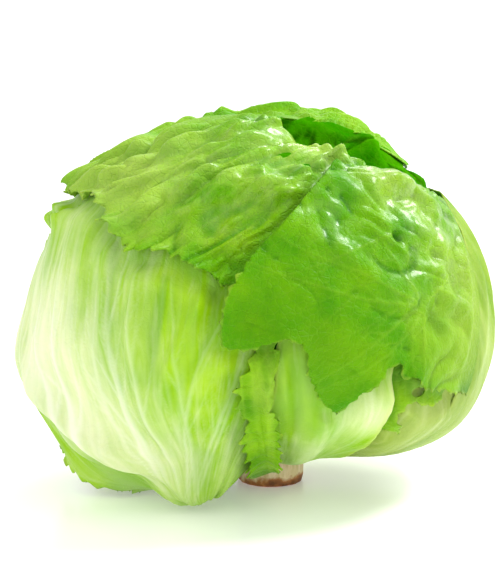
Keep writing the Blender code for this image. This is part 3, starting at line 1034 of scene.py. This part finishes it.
@dataclass(frozen=True)
class LeafFinish:
    """A fresh leaf's skin: thin wax over wet green cells, so a soft sheen on saturated colour.

    The green pales towards the white ribs, and shade is painted deep green in its creases. A pale
    yellow line along the thin edge is partly a dried edge and partly painted light through it.
    Where water lies on it, a clear coat in patches gives sharp glints. Sizes are in millimetres.
    """

    name: str
    blade: str
    young: str
    pale: str
    vein: str
    deep: str
    # Pale yellow line at the margin: partly a dried edge, partly painted light shining through the thin
    # edge.
    dried_and_lit_edge: str = "#CCD060"
    roughness: float = 0.4
    gloss: float = 0.07
    vein_show: float = 0.6
    banded: float = 0.8  # how uneven the pale bands along the fan are
    net_show: float = 0.05
    net_depth: float = 0.2
    # How much of that partly dried, partly painted-lit edge colour shows at the margin.
    blistered: float = 1.4
    dried: float = 0.25
    cloud_size: float = 45.5
    patch_size: float = 16.67
    band_size: float = 7.69
    hair_size: float = 1.923  # fibres along the veins
    bead_size: float = 4.17  # patches of water
    blister_size: float = 3.57
    net_size: float = 2.6  # fields between the smallest veins
    grain_size: float = 1.25  # the real cells, 0.05 mm, are too fine to show

    def material(self) -> bpy.types.Material:
        """The leaf's material, patterned on its fan of veins and on its own place.

        Returns:
            The material.
        """
        nodes = Nodes(self.name)
        add = nodes.add
        place = add("TexCoord", {}, out="Object")
        fan = add("UVMap", {}, uv_map="fan")
        pale, vein, painted_shade, edge, shine = (
            add("Attribute", {}, out="Fac", attribute_name=key)
            for key in ("pale", "vein", "painted_shade", "edge", "shine")
        )
        fibres = add("Mapping", {"Vector": fan, "Scale": (1.0, 0.12, 1.0)})
        patches, clouds, hairs, bands, grain, blisters, beads = (
            add("TexNoise", {"Vector": at, "Scale": 1000 / size, "Detail": detail, "Distortion": bent})
            for at, size, detail, bent in (
                (place, self.patch_size, 4.0, 0.0), (place, self.cloud_size, 2.0, 0.0),
                (fibres, self.hair_size, 3.0, 0.8), (fibres, self.band_size, 3.0, 1.2),
                (place, self.grain_size, 2.0, 0.0), (place, self.blister_size, 2.0, 0.0),
                (place, self.bead_size, 3.0, 0.0),
            )
        )
        line, fine_line = (
            add("MapRange", {
                0: add("TexVoronoi", {"Vector": place, "Scale": 1000 / size}, feature="DISTANCE_TO_EDGE"),
                1: 0.0, 2: width, 3: 1.0, 4: 0.0,
            })
            for size, width in ((self.net_size, 0.12), (self.net_size / 2.7, 0.16))
        )

        uneven = add("Math", {0: edge, 1: -0.12, 2: pale}, operation="MULTIPLY_ADD")
        for noise, weight in ((bands, self.banded), (hairs, 0.6 * self.banded), (patches, 0.3)):
            centred = add("Math", {0: noise, 1: 0.5}, operation="SUBTRACT")
            uneven = add("Math", {0: centred, 1: weight, 2: uneven}, operation="MULTIPLY_ADD")
        shown = add("Math", {0: pale, 1: self.vein_show, 2: 0.3 * self.vein_show}, operation="MULTIPLY_ADD")
        colour = linear(self.blade)
        for share, over in (
            (add("MapRange", {0: patches, 1: 0.35, 2: 0.65, 3: 0.0, 4: 1.0}), self.young),
            (add("MapRange", {0: clouds, 1: 0.5, 2: 0.75, 3: 0.0, 4: 0.3}), self.deep),
            # Painted shade: the deep colour laid over creases, hollows and the edges of leaves over it.
            (add("Math", {0: painted_shade, 1: 0.9}, operation="MULTIPLY"), self.deep),
            (add("MapRange", {0: uneven, 1: 0.08, 2: 1.0, 3: 0.0, 4: 1.0}), self.pale),
            # Painted light, partly a dried edge: a pale yellow line along the thin margin.
            (add("MapRange", {0: edge, 1: 0.8, 2: 1.0, 3: 0.0, 4: self.dried}), self.dried_and_lit_edge),
            (add("Math", {0: vein, 1: shown}, operation="MULTIPLY"), self.vein),
            (add("Math", {0: line, 1: self.net_show}, operation="MULTIPLY"), self.vein),
        ):
            colour = add("Mix", {0: share, 6: colour, 7: linear(over)}, **nodes.MIX)

        height = 0.0
        for pattern, weight in (
            (hairs, 0.5), (line, -self.net_depth), (fine_line, -0.4 * self.net_depth), (grain, 0.15),
            (blisters, self.blistered),
        ):
            height = add("Math", {0: pattern, 1: weight, 2: height}, operation="MULTIPLY_ADD")
        water = add("MapRange", {0: beads, 1: 0.4, 2: 0.56, 3: 0.05, 4: 0.9})
        smoothest, roughest = self.roughness - 0.06, self.roughness + 0.08
        nodes.join(
            nodes.shader,
            {
                "Base Color": colour,
                "Roughness": add("MapRange", {0: grain, 1: 0.3, 2: 0.7, 3: smoothest, 4: roughest}),
                "Normal": add("Bump", {"Height": height, "Strength": 0.6, "Distance": 0.0008}),
                "Specular IOR Level": self.gloss,
                "Coat Weight": add("Math", {0: shine, 1: water}, operation="MULTIPLY"),
                "Coat Roughness": 0.24,
                "Subsurface Weight": 0.12,
                "Subsurface Radius": (0.6, 1.0, 0.1),
                "Subsurface Scale": 0.002,
            },
        )
        return nodes.material


@dataclass(frozen=True)
class StemFinish:
    """A cut stem: wet white pith that has dried and browned where the knife left it."""

    name: str = "cut lettuce stem"
    flesh: str = "#F6DEBE"
    green: str = "#DCC48E"
    brown: str = "#B4703A"
    dark: str = "#6E3A12"
    fibre_size: float = 1.43  # millimetres, as the mottles
    mottle_size: float = 3.85

    def material(self) -> bpy.types.Material:
        """The stem's material: brown by the cut attribute, mottled, with fibres along it.

        Returns:
            The material.
        """
        nodes = Nodes(self.name)
        add = nodes.add
        place = add("TexCoord", {}, out="Object")
        cut = add("Attribute", {}, out="Fac", attribute_name="cut")
        upright = add("Mapping", {"Vector": place, "Scale": (1.0, 1.0, 0.25)})
        fibre = add("TexNoise", {"Vector": upright, "Scale": 1000 / self.fibre_size, "Detail": 3.0})
        mottle = add("TexNoise", {"Vector": place, "Scale": 1000 / self.mottle_size, "Detail": 4.0})
        centred = add("Math", {0: mottle, 1: 0.5}, operation="SUBTRACT")
        browned = add("Math", {0: centred, 1: 1.8, 2: cut}, operation="MULTIPLY_ADD")
        colour = linear(self.flesh)
        for value, low, high, over in (
            (fibre, 0.35, 0.65, self.green), (browned, 0.45, 0.85, self.brown),
            (browned, 0.8, 1.25, self.dark),
        ):
            share = add("MapRange", {0: value, 1: low, 2: high, 3: 0.0, 4: 1.0})
            colour = add("Mix", {0: share, 6: colour, 7: linear(over)}, **nodes.MIX)
        nodes.join(
            nodes.shader,
            {
                "Base Color": colour,
                "Roughness": 0.62,
                "Normal": add("Bump", {"Height": fibre, "Strength": 0.5, "Distance": 0.0005}),
                "Subsurface Weight": 0.15,
                "Subsurface Radius": (1.0, 0.7, 0.4),
                "Subsurface Scale": 0.002,
            },
        )
        return nodes.material


@dataclass(frozen=True)
class FloorFinish:
    """A white acrylic board lit from below, smooth enough to mirror softly."""

    name: str = "white lit acrylic"
    colour: str = "#FCFCFB"
    glow: float = 0.23
    roughness: float = 0.22

    def material(self) -> bpy.types.Material:
        """The floor's material.

        Returns:
            The material.
        """
        nodes = Nodes(self.name)
        nodes.join(
            nodes.shader,
            {
                "Base Color": linear(self.colour),
                "Roughness": self.roughness,
                "Emission Color": linear(self.colour),
                "Emission Strength": self.glow,
            },
        )
        return nodes.material


# Each has a name, then its blade, young, pale, vein and deep colours.
# The deep colour is also the painted shade in creases, hollows and under the edges of other leaves.
FINISHES = {
    # Grown in the shade: nearly white ribs and bands in yellow green, and hardly any sheen.
    Tone.PALE: LeafFinish(
        "pale lettuce wrapper leaf", "#88BC04", "#A0CC16", "#E4ECB8", "#F8FAE8", "#6EA804",
        vein_show=0.8, banded=0.7, net_show=0.0, net_depth=0.1, blistered=0.5,
    ),
    # Taut and sunlit: an even deep green between fine veins, with water on its ridges.
    Tone.GREEN: LeafFinish(
        "green lettuce blade", "#4A9200", "#6AA600", "#A0BC3E", "#A2CA40", "#246A00",
        roughness=0.36, banded=0.15, net_depth=0.35,
    ),
    # Puckered: shade is painted dark in the creases of its folds, and their crests catch the light.
    Tone.CAP: LeafFinish(
        "puckered lettuce blade", "#5CA200", "#7EB002", "#B0CC58", "#A8CA54", "#489000",
        roughness=0.36, banded=0.3, net_depth=0.35,
    ),
    # Old and dull: olive, with long pale streaks and no gloss.
    Tone.STREAKED: LeafFinish(
        "streaked lettuce leaf", "#648E0A", "#789C1C", "#9EB24E", "#BACA80", "#50840C",
        vein_show=0.6, net_show=0.0, net_depth=0.1, blistered=0.5,
    ),
    # Thin edges that light passes through: the brightest green.
    Tone.CURLED: LeafFinish(
        "curled lettuce edge", "#569400", "#8CC008", "#B8D64C", "#BCDA58", "#2C7400",
        roughness=0.36, banded=0.1,
    ),
    # Deep in the hollows: dark and matte, with paler veins; its darkness is painted shade of the hollows.
    Tone.HEART: LeafFinish(
        "lettuce heart leaf", "#227600", "#3C8C00", "#68A20A", "#82B426", "#104600",
        roughness=0.5, gloss=0.0, banded=0.1, vein_show=0.6,
    ),
}


def star(hub: tuple, count: int, length: float, seed: int) -> VeinTree:
    """Short veins that run out evenly from a pucker, every other one longer.

    Args:
        hub: The pucker's direction.
        count: How many veins.
        length: Their mean length in millimetres.
        seed: Seed of their sway.

    Returns:
        The veins.
    """
    mains = tuple((360 / count * k + 17, length * (0.8 + 0.4 * (k % 2))) for k in range(count))
    return VeinTree(hub, mains, seed, width=0.9, spacing=30)


LEAVES = [
    Leaf(
        "lower_right_leaf", Tone.STREAKED, centre=(65, -30), rib_end=(75, 0), seed=3, spacing=0.9,
        margin=[(25, -32), (30, -12), (45, -1), (70, 4), (90, 2), (104, -12), (108, -35),
                (108, -60), STEM_DIRECTION, (20, -79), (22, -55)],
        edge=Edge(ruffle=1.2), paleness=0.7,
    ),
    Leaf(
        "left_under_leaf", Tone.PALE, centre=(-108, -22), rib_end=(-110, 20), seed=5, spacing=1.0,
        margin=[(-73, -35), (-70, -10), (-66, 20), (-64, 33), (-72, 38), (-84, 38), (-96, 36),
                (-108, 30), (-120, 24), (-132, 20), (-150, 8), (-157, -15), (-152, -45),
                (-145, -72), STEM_DIRECTION, (-55, -78), (-68, -58)],
        edge=Edge(5.0, 3.0, 4.0, 6.5, 1.6, 3.5),
        forms=(
            Swelling(-90, 22, 5.4, 5.0, 4.2), Swelling(-85, 27.5, 5.0, 4.6, 3.8),
            Swelling(-77, 30, 3.0, 3.8, 3.0), Swelling(-99, 25, 3.0, 5.0, 4.0),
        ),
        paleness=0.3, tints=(Bell(-110, -30, 45, 0.3), Bell(-86, 26, 14, -0.5)),
    ),
    Leaf(
        "torn_leaf", Tone.CURLED, centre=(44, -36), rib_end=(44, -8), seed=7, spacing=0.55,
        margin=[(52, -56), (43, -40), (41, -31), (43, -28), (47, -28), (46, -25), (43, -22),
                (43, -19), (51, -19), (56, -19), (58, -16), (54, -12), (48, -8), (38, -5),
                (27, -12), (24, -26), (28, -50), (50, -74), STEM_DIRECTION, (78, -70)],
        edge=Edge(3.6, 1.6, 1.0, 9.0, 0.8, 4.0), rib_height=0.6, pleats=Folds(5.0, 30.0, 0.6),
        paleness=0.0, holes=(Hole(47.2, -15.0, 3.0, 1.6),),
    ),
    Leaf(
        "left_wrapper", Tone.PALE, centre=(-42, -20), rib_end=(-62, 30), seed=11, fan=(-24, -60),
        spacing=0.66, rib_height=3.2, rib_width=11.0, streak_height=0.13, streak_width=2.6,
        pleats=Folds(9.0, 50.0, 1.7), vein_height=0.6,
        veins=(
            VeinTree(
                (-26, -54),
                ((172, 44), (163, 54), (154, 66), (146, 84), (138, 97), (129, 114), (121, 120),
                 (112, 118), (104, 107), (95, 101), (86, 98), (76, 95), (66, 90), (56, 68)),
                seed=12, width=1.3, spacing=10, branch_turn=20, wander=0.5, bare=55,
            ),
        ),
        margin=[(30, -74), (9, -50), (7, -33), (6, -20), (6, -6), (4, 8), (-6, 19), (-20, 28),
                (-32, 34), (-42, 38), (-52, 41), (-60, 42), (-68, 38), (-74, 31), (-80, 24),
                (-87, 18), (-96, 13), (-107, 2), (-111, -14), (-104, -28), (-90, -39), (-78, -44),
                (-69, -48), (-64, -56), (-48, -70), STEM_DIRECTION],
        edge=Edge(5.0, 3.4, 2.4, 16.0, 1.0, 6.0),
        lifts=(Bell(-62, 36, 16, 3.0), Bell(-74, -46, 14, 7.5)), plain=(Bell(-96, 14, 9),),
        frills=(Bell(-76, -46, 12, 2.0),),
        forms=(
            Swelling(-31, 7, 3.8, 26, 3.0, 93), Swelling(-25, 5, -2.4, 22, 2.8, 84),
            Swelling(-17, 3, 3.2, 20, 2.6, 65), Swelling(-11, 2, -1.6, 16, 2.6, 60),
            Swelling(-52, -20, 3.4, 26, 2.6, -40), Swelling(-37, -36, 2.6, 16, 2.6, -55),
            Swelling(-41, 12, 2.0, 24, 2.2, 100), Swelling(-50, 16, 1.6, 20, 2.4, 104),
        ),
        paleness=0.14,
        tints=(
            Bell(-57, -4, 17, 0.75), Bell(-43, -22, 12, 0.55), Bell(-34, -36, 9, 0.45),
            Bell(-18, -40, 18, 0.15), Bell(-80, 2, 18, 0.3), Bell(-6, 8, 17, -0.4),
            Bell(0, -12, 12, -0.15), Bell(-66, -40, 12, -0.1), Bell(-46, -42, 8, -0.2),
        ),
    ),
    Leaf(
        "front_wrapper", Tone.PALE, centre=(24, -30), rib_end=(20, 0), seed=13, fan=(50, -78),
        spacing=0.65, rib_height=1.6, streak_height=0.12, pleats=Folds(10.0, 50.0, 0.7),
        margin=[(8, 4), (12, 10), (22, 11), (33, 6), (38, -4), (38, -12), (38, -21), (40, -32),
                (47, -45), (57, -57), (75, -72), STEM_DIRECTION, (6, -77), (4, -60), (4, -33),
                (6, -15)],
        edge=Edge(5.0, 0.3, 0.6, 24.0, 0.1), lifts=(Bell(38, -20, 16, 2.4),),
        forms=(Swelling(12.5, -14, -2.4, 26, 4.5, 94), Swelling(22, -26, 1.6, 24, 4.0, 100)),
        paleness=0.15, tints=(
            # Painted shade: the tint at (12, -28) greens its left side, shaded by the curled leaf and the
            # upper right leaf.
            Bell(14, -2, 15, -0.8), Bell(36, -20, 8, 0.6), Bell(12, -28, 9, -0.2), Bell(30, -38, 14, 0.1),
        ),
    ),
    Leaf(
        "curled_leaf", Tone.CURLED, centre=(4, -30), rib_end=(8, 0), seed=17, spacing=0.42,
        rib_height=3.5, rib_width=5.0, pleats=Folds(5.0, 20.0, 0.6),
        margin=[(2, 4), (-1, -2), (-3.4, -7), (-5.6, -11), (-4.6, -15), (-5.6, -19), (-3, -23),
                (-4.4, -30), (-4.6, -38), (-4, -46), (-3, -58), (6, -76), STEM_DIRECTION, (22, -72),
                (16, -56), (13.5, -44), (11, -34), (9.6, -26), (9, -20), (6.4, -16), (6.6, -9),
                (7.4, -3), (9, 5)],
        edge=Edge(6.8, 4.2, 2.4, 7.0, 1.2, 3.4), paleness=0.0, tints=(Bell(5, -14, 7, 0.35),),
        plain=(Bell(10, -5, 6), Bell(10, -13, 6)), forms=(Swelling(4.5, -16, 2.2, 24, 2.2, 90),),
    ),
    Leaf(
        "cap_leaf", Tone.CAP, centre=(-165, 62), rib_end=(10, 80), seed=19, fan=(103, 32),
        spacing=0.83, streak_height=0.14, streak_width=4.5, pleats=Folds(12.0, 60.0, 1.0),
        crumple=Folds(5.5, 22.0, 7.6),
        margin=[(-104, 29), (-92, 31), (-84, 31), (-77, 31), (-69, 32.5), (-61, 34), (-55, 33), (-48, 29),
                (-41, 25), (-34, 21), (-27, 22), (-21, 21), (-15, 19), (-9, 15), (2, 18), (15, 27),
                (30, 38), (46, 42), (54, 49), (47, 55), (43, 61), (37, 68), (25, 75), (21, 80),
                (46, 83), (70, 76), (78, 67), (82, 59), (86, 53), (91, 47), (98, 41), (112, 36),
                (130, 32), (146, 25), (158, 10), (164, -20), (164, -55), STEM_DIRECTION,
                (-172, -60), (-160, -30), (-140, 0), (-118, 19)],
        edge=Edge(5.0, 3.6, 2.8, 13.0, 1.0, 5.0),
        lifts=(
            Bell(-28, 22, 18, 2.2), Bell(38, 62, 14, 1.6), Bell(80, 60, 16, -2.2), Bell(58, 79, 10, -3.0),
            Bell(92, 46, 12, -2.0), Bell(-74, 35, 12, -1.2),
        ),
        plain=(Bell(38, 60, 22), Bell(80, 60, 20), Bell(30, 78, 18), Bell(92, 44, 16)),
        frills=(Bell(-44, 29, 15, 3.6), Bell(-24, 21, 10, 1.6)),
        shines=(
            Bell(28, 72, 8), Bell(38, 62, 8), Bell(42, 53, 8), Bell(12, 43, 7, 0.8), Bell(10, 62, 18, 0.55),
            Bell(-35, 48, 24, 0.5), Bell(-8, 33, 7, 0.6),
        ),
        forms=(
            Swelling(30, 72, 2.4, 9, 2.6, -58), Swelling(40, 58, 2.4, 10, 2.6, -85),
            Swelling(10, 86, -2.6, 26, 18), Swelling(-21, 36, 1.8, 8, 5, 35),
            Swelling(-55, 43, -2.0, 7, 2, 35),
            Swelling(-44, 56, -1.8, 12, 2, 45), Swelling(-42, 46, 1.5, 16, 2.5, 55),
            Swelling(-72, 50, -2.5, 6, 2.5, 30), Swelling(13, 47, -3.4, 6, 4, 10),
            Swelling(12, 40.5, 2.6, 7, 1.6, 0), Swelling(4, 48, 1.6, 5, 1.6, 80),
        ),
        veins=(
            star((-6.5, 33), 5, 8.0, 6),
            VeinTree(
                (14, 44), ((166, 66), (180, 70), (196, 62), (150, 66), (213, 46)),
                seed=15, width=0.6, wander=0.7,
            ),
        ),
        paleness=0.12,
        # Painted highlight: the tint at (40, 58) pales the near rim of the hollow where it catches the
        # light.
        tints=(Bell(-62, 40, 25, 0.6), Bell(5, 60, 20, 0.1), Bell(-4, 25, 14, -0.15), Bell(40, 58, 9, 0.5)),
    ),
    Leaf(
        "back_wrapper", Tone.PALE, centre=(168, -22), rib_end=(170, 18), seed=23, spacing=1.1,
        rib_height=3.0, rib_width=10.0,
        margin=[(124, -45), (118, -14), (124, 12), (142, 24), (162, 21), (178, 27), (-164, 22),
                (-146, 8), (-138, -20), (-142, -52), (-150, -74), STEM_DIRECTION, (125, -72)],
        paleness=0.3, tints=(Bell(170, -40, 35, 0.3),),
    ),
    Leaf(
        "upper_right_leaf", Tone.GREEN, centre=(62, 2), rib_end=(47, 8), seed=29, fan=(49, 4),
        spacing=0.72, streak_height=0.0, vein_height=0.45, pleats=Folds(14.0, 30.0, 0.5),
        crumple=Folds(11.0, 15.0, 2.8, -30),
        margin=[(24, 43), (18, 39), (10, 32), (-1, 22), (-6, 15), (-8, 8), (-7, 0), (-2, -1),
                (4, 0), (9, 1.5), (12, -1), (14, -9), (18, -16), (24, -21), (28, -16),
                (33, -11), (38, -7), (39, -10), (43, -11), (45, -13), (53, -15), (60, -17),
                (70, -20), (80, -26), (88, -42), (92, -62), STEM_DIRECTION, (112, -60),
                (114, -25), (118, 5), (116, 18), (106, 27), (92, 29), (82, 31), (72, 35),
                (62, 39), (53, 43), (45, 47), (37, 50), (30, 47)],
        edge=Edge(4.0, 2.0, 1.8), roll=1.0,
        lifts=(Bell(6, 28, 24, 5.0), Bell(-7, 5, 12, 2.5), Bell(56, 42, 20, 1.5)),
        plain=(Bell(12, 35, 18), Bell(56, 43, 26), Bell(80, 30, 14)), calm=(Bell(14, 0, 26),),
        shines=(
            Bell(46, 46, 8), Bell(54, 39, 9), Bell(66, 33, 9), Bell(74, 27, 9), Bell(22, 37, 7, 0.8),
            Bell(27, 29, 7, 0.6), Bell(52, 27, 9, 0.6), Bell(44, 14, 8, 0.5), Bell(62, 16, 12, 0.5),
        ),
        forms=(
            Swelling(44.6, 25, -3.0, 2.5, 1.3, -50), Swelling(42, 23.5, 1.2, 10, 1.5, -45),
            Swelling(57, 18, -1.8, 4, 3), Swelling(61, 13, -1.8, 5, 4),
            Swelling(50, 4, -1.6, 5, 4, 30), Swelling(52, 0, -1.2, 4, 3),
            Swelling(50, 27, 1.5, 14, 4, -25), Swelling(26, 23, 1.4, 14, 4, -45),
            Swelling(60, 36, 1.8, 16, 2.6, -32), Swelling(70, 8, 2.4, 24, 2.6, 62),
            Swelling(63, 11, -1.6, 18, 3.0, 62), Swelling(78, 16, -1.4, 20, 2.6, 60),
        ),
        veins=(
            VeinTree((47, 7), ((169, 74), (196, 62), (226, 46), (151, 60), (118, 34), (258, 30), (24, 24)),
                     seed=4, width=0.65, wander=0.5),
            VeinTree((44.6, 26.3), ((193, 45),), seed=8, width=0.65, wander=0.4),
        ),
        paleness=0.0,
        tints=(
            # Painted highlight: the tints at (47, 41) and (62, 35) pale the top rim where it catches the
            # light.
            Bell(62, -5, 17, 0.55), Bell(76, 12, 17, 0.45), Bell(47, 41, 8, 0.5), Bell(62, 35, 8, 0.4),
            Bell(58, 24, 10, 0.2),
        ),
    ),
    Leaf(
        "right_wrapper", Tone.STREAKED, centre=(105, -20), rib_end=(108, 20), seed=31, spacing=0.95,
        sinking=0.6, drape=16.0, rib_height=2.4, rib_width=10.0, pleats=Folds(7.0, 60.0, 0.7),
        margin=[(66, -48), (62, -32), (63, -18), (66, -5), (72, 9), (80, 20), (92, 29),
                (106, 30), (122, 22), (138, 8), (144, -14), (140, -40), (132, -66),
                STEM_DIRECTION, (60, -70)],
        edge=Edge(5.0, 0.4, 0.0, 24.0, 0.0), lifts=(Bell(74, 4, 60, -1.3), Bell(63, -17, 12, -1.5)),
        forms=(Swelling(86, 8, 2.0, 30, 3.0, 72), Swelling(77, 3, 1.0, 26, 2.4, 68)),
        paleness=0.5, tints=(Bell(84, 18, 30, -0.4),),
    ),
]


@dataclass
class Heart:
    """The dense heart: a ball of folded leaves whose overlapping edges stand out."""

    wrapping: Wrapping
    folded_edges: int = 5
    edge_height: float = 1.2
    edge_turn: float = 0.22  # how far round an edge turns from the middle to the top
    fold_height: float = 3.0
    risen: Bell = Bell(72, 62, 22, 1.3)  # where it fills the hollow beside the cap leaf
    columns: int = 300
    rows: int = 150
    noise: Noise = Noise(43)
    veins: VeinTree = VeinTree(
        (112, 36), ((100, 60), (122, 80), (138, 90), (154, 90), (170, 90), (188, 70), (60, 40)),
        seed=9, wander=0.5,
    )

    def folds(self, directions: Array) -> Array:
        """Rounded folds in the hollows beside the cap leaf: the size of a stretched noise.

        Args:
            directions: Unit vectors.

        Returns:
            0 in the creases and up to 1 on the folds.
        """
        x, y = Unrolled((65, 58), -25).read(directions)
        return np.abs(self.noise.smooth(x / 16, y / 7, 2))

    def radius(self, directions: Array) -> Array:
        """The form, sunk under the leaves, less a saw wave that turns with height, with soft folds.

        Args:
            directions: Unit vectors.

        Returns:
            Millimetres from the head's middle.
        """
        wrapping = self.wrapping
        sunk = np.zeros(len(directions))
        for leaf in wrapping.leaves:
            sunk += leaf.sinking * (1 - smooth_step(1.0, leaf.drape, leaf.outside(directions)[0]))
        azimuth = np.arctan2(directions[:, 0], -directions[:, 1]) / (2 * math.pi)
        fold = np.mod(self.folded_edges * (azimuth + self.edge_turn * directions[:, 2]), 1)
        slope = smooth_step(0.0, 0.12, fold) * (1 - fold)
        level = 1 - np.abs(directions[:, 2]) ** 4
        sunk += self.edge_height * (1 - slope) * level - self.fold_height * (self.folds(directions) - 0.3)
        return wrapping.form.radius(directions) - sunk + self.risen.read(directions)

    def build(self) -> bpy.types.Object:
        """The heart as a closed ball on a grid of azimuth and elevation, with two poles.

        Returns:
            The object.
        """
        azimuth = np.linspace(-180, 180, self.columns, endpoint=False)
        elevation = np.linspace(-90, 90, self.rows + 1)[1:-1]
        grid = np.stack(np.meshgrid(azimuth, elevation), axis=2).reshape(-1, 2)
        directions = np.concatenate((unit(grid), [[0, 0, -1.0], [0, 0, 1.0]]))
        points = self.wrapping.form.points(directions, self.radius(directions))
        made = mesh_object("heart_leaves", points, capped_grid(len(elevation), self.columns))
        # Painted shade: the creases between the heart's folds are painted darker.
        painted_shade = 1 - smooth_step(0.03, 0.2, self.folds(directions))
        keep_values(made, {"vein": self.veins.ridge(directions), "painted_shade": painted_shade})
        made.data.materials.append(FINISHES[Tone.HEART].material())
        return made


@dataclass
class Stem:
    """The cut butt of the stem with the core inside the head."""

    radius: float = 12.6
    foot_radius: float = 11.9
    butt_height: float = 11.0
    core_base: float = 30.0
    core_top: float = 52.0
    core_radius: float = 6.0
    rough: float = 0.35  # height of its unevenness
    browned: tuple = (1.0, 7.5)  # heights between which the brown of the cut fades
    columns: int = 160
    rows: int = 120

    def build(self) -> bpy.types.Object:
        """A turned form: radius by the run along its profile, roughened by noise round it.

        Returns:
            The object.
        """
        corners = np.array(
            (
                (0.0, 0.0), (self.foot_radius - 1.5, 0.0), (self.foot_radius, 0.5),
                (self.radius - 0.3, 2.5), (self.radius, self.butt_height),
                (self.radius - 1, self.core_base), (self.core_radius, self.core_top - 3),
                (0.0, self.core_top),
            )
        )
        run = np.concatenate(((0,), np.cumsum(np.linalg.norm(np.diff(corners, axis=0), axis=1))))
        along = np.linspace(0, run[-1], self.rows + 1)[1:-1]
        radius, height = np.interp(along, run, corners[:, 0]), np.interp(along, run, corners[:, 1])
        turn = np.linspace(0, 2 * math.pi, self.columns, endpoint=False)
        turn, radius = np.meshgrid(turn, radius)
        _, height = np.meshgrid(turn[0], height)
        noise = Noise(41)
        uneven = noise.smooth(np.cos(turn) * 4 + 9, np.sin(turn) * 4 + height * 0.25 + 9, 3)
        radius = radius + self.rough * uneven * smooth_step(3, 9, radius)
        cut = (1 - smooth_step(*self.browned, height)) * (0.35 + 0.65 * smooth_step(7, 12, radius))
        points = np.stack((radius * np.cos(turn), radius * np.sin(turn), height), axis=2).reshape(-1, 3)
        points = np.concatenate((points, [[0, 0, 0], [0, 0, self.core_top]])) * METRES
        made = mesh_object("stem_butt", points, capped_grid(len(along), self.columns))
        keep_values(made, {"cut": np.concatenate((cut.ravel(), (0.4, 0.0)))})
        made.data.materials.append(StemFinish().material())
        return made


@dataclass(frozen=True)
class SoftBox:
    """A square soft light that faces the head: place and side in metres, power in watts."""

    name: str
    place: tuple
    size: float
    power: float

    def build(self, target: tuple) -> None:
        """Put the light into the scene.

        Args:
            target: The place that it faces.
        """
        data = bpy.data.lights.new(self.name, "AREA")
        data.size = self.size
        data.energy = self.power
        made = bpy.data.objects.new(self.name, data)
        facing = (Vector(self.place) - Vector(target)).to_track_quat("Z", "Y")
        made.matrix_world = Matrix.Translation(self.place) @ facing.to_matrix().to_4x4()
        bpy.context.scene.collection.objects.link(made)


@dataclass
class Studio:
    """A white board under soft light, and a long lens that looks 12 degrees down."""

    pixels_per_mm: float = 2.7
    distance: float = 0.9
    image: tuple = (500, 587)
    middle_pixel: tuple = (252.0, 300.0)
    head_middle: tuple = (-0.007, 0.0, 0.069)
    tilt: float = math.radians(12)
    sensor: float = 36.0
    boxes: tuple = (
        SoftBox("key", (0.52, 0.05, 0.72), 0.2, 5.0),
        SoftBox("fill", (-0.8, -0.6, 0.6), 0.7, 1.5),
        SoftBox("rim", (0.62, 0.42, 0.56), 0.3, 2.8),
        SoftBox("back", (0.16, 0.8, 0.74), 0.35, 1.8),
    )

    def camera(self) -> None:
        """The camera: its lens gives the scale at its distance, and its place the framing."""
        right = Vector((1, 0, 0))
        up = Vector((0, math.sin(self.tilt), math.cos(self.tilt)))
        toward = Vector((0, -math.cos(self.tilt), math.sin(self.tilt)))
        size = METRES / self.pixels_per_mm
        beside = (self.middle_pixel[0] - self.image[0] / 2) * size
        below = (self.middle_pixel[1] - self.image[1] / 2) * size
        eye = Vector(self.head_middle) - right * beside + up * below + toward * self.distance
        data = bpy.data.cameras.new("camera")
        data.sensor_fit = "AUTO"
        data.sensor_width = self.sensor
        data.lens = self.sensor * self.distance / (size * max(self.image))
        made = bpy.data.objects.new("camera", data)
        made.matrix_world = Matrix.Translation(eye) @ Matrix((right, up, toward)).transposed().to_4x4()
        bpy.context.scene.collection.objects.link(made)
        bpy.context.scene.camera = made

    def build(self) -> None:
        """The floor, the lights, the white surroundings and the camera."""
        corners = np.array(((-4, -4, 0), (4, -4, 0), (4, 8, 0), (-4, 8, 0)), float)
        floor = mesh_object("studio_floor", corners, np.array(((0, 1, 2), (0, 2, 3))))
        floor.data.materials.append(FloorFinish().material())
        world = bpy.data.worlds.new("white_tent")
        world.use_nodes = True
        world.node_tree.nodes["Background"].inputs["Color"].default_value = (1, 1, 1, 1)
        world.node_tree.nodes["Background"].inputs["Strength"].default_value = 1.0
        bpy.context.scene.world = world
        bpy.context.scene.view_settings.view_transform = "Standard"
        for box in self.boxes:
            box.build(self.head_middle)
        self.camera()


def dress(piece: bpy.types.Object, node: str) -> None:
    """Tie a piece to the frame in place of a node.

    Args:
        piece: The piece.
        node: The node, whose name is also its slot's.
    """
    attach(piece, "root")
    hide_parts(node)
    LOG.info("%s: %d triangles", piece.name, len(piece.data.polygons))


def main() -> None:
    """Build the head, its stem and the studio."""
    logging.basicConfig(level=logging.INFO, format="%(message)s")
    wrapping = Wrapping(HeadForm(), LEAVES)
    materials = {tone: finish.material() for tone, finish in FINISHES.items()}
    for leaf in LEAVES:
        piece = wrapping.blade(leaf).piece(f"{leaf.name}_blade")
        piece.data.materials.append(materials[leaf.tone])
        dress(piece, leaf.name)
    dress(Heart(wrapping).build(), "heart")
    dress(Stem().build(), "stem")
    Studio().build()


if __name__ == "__main__":
    main()
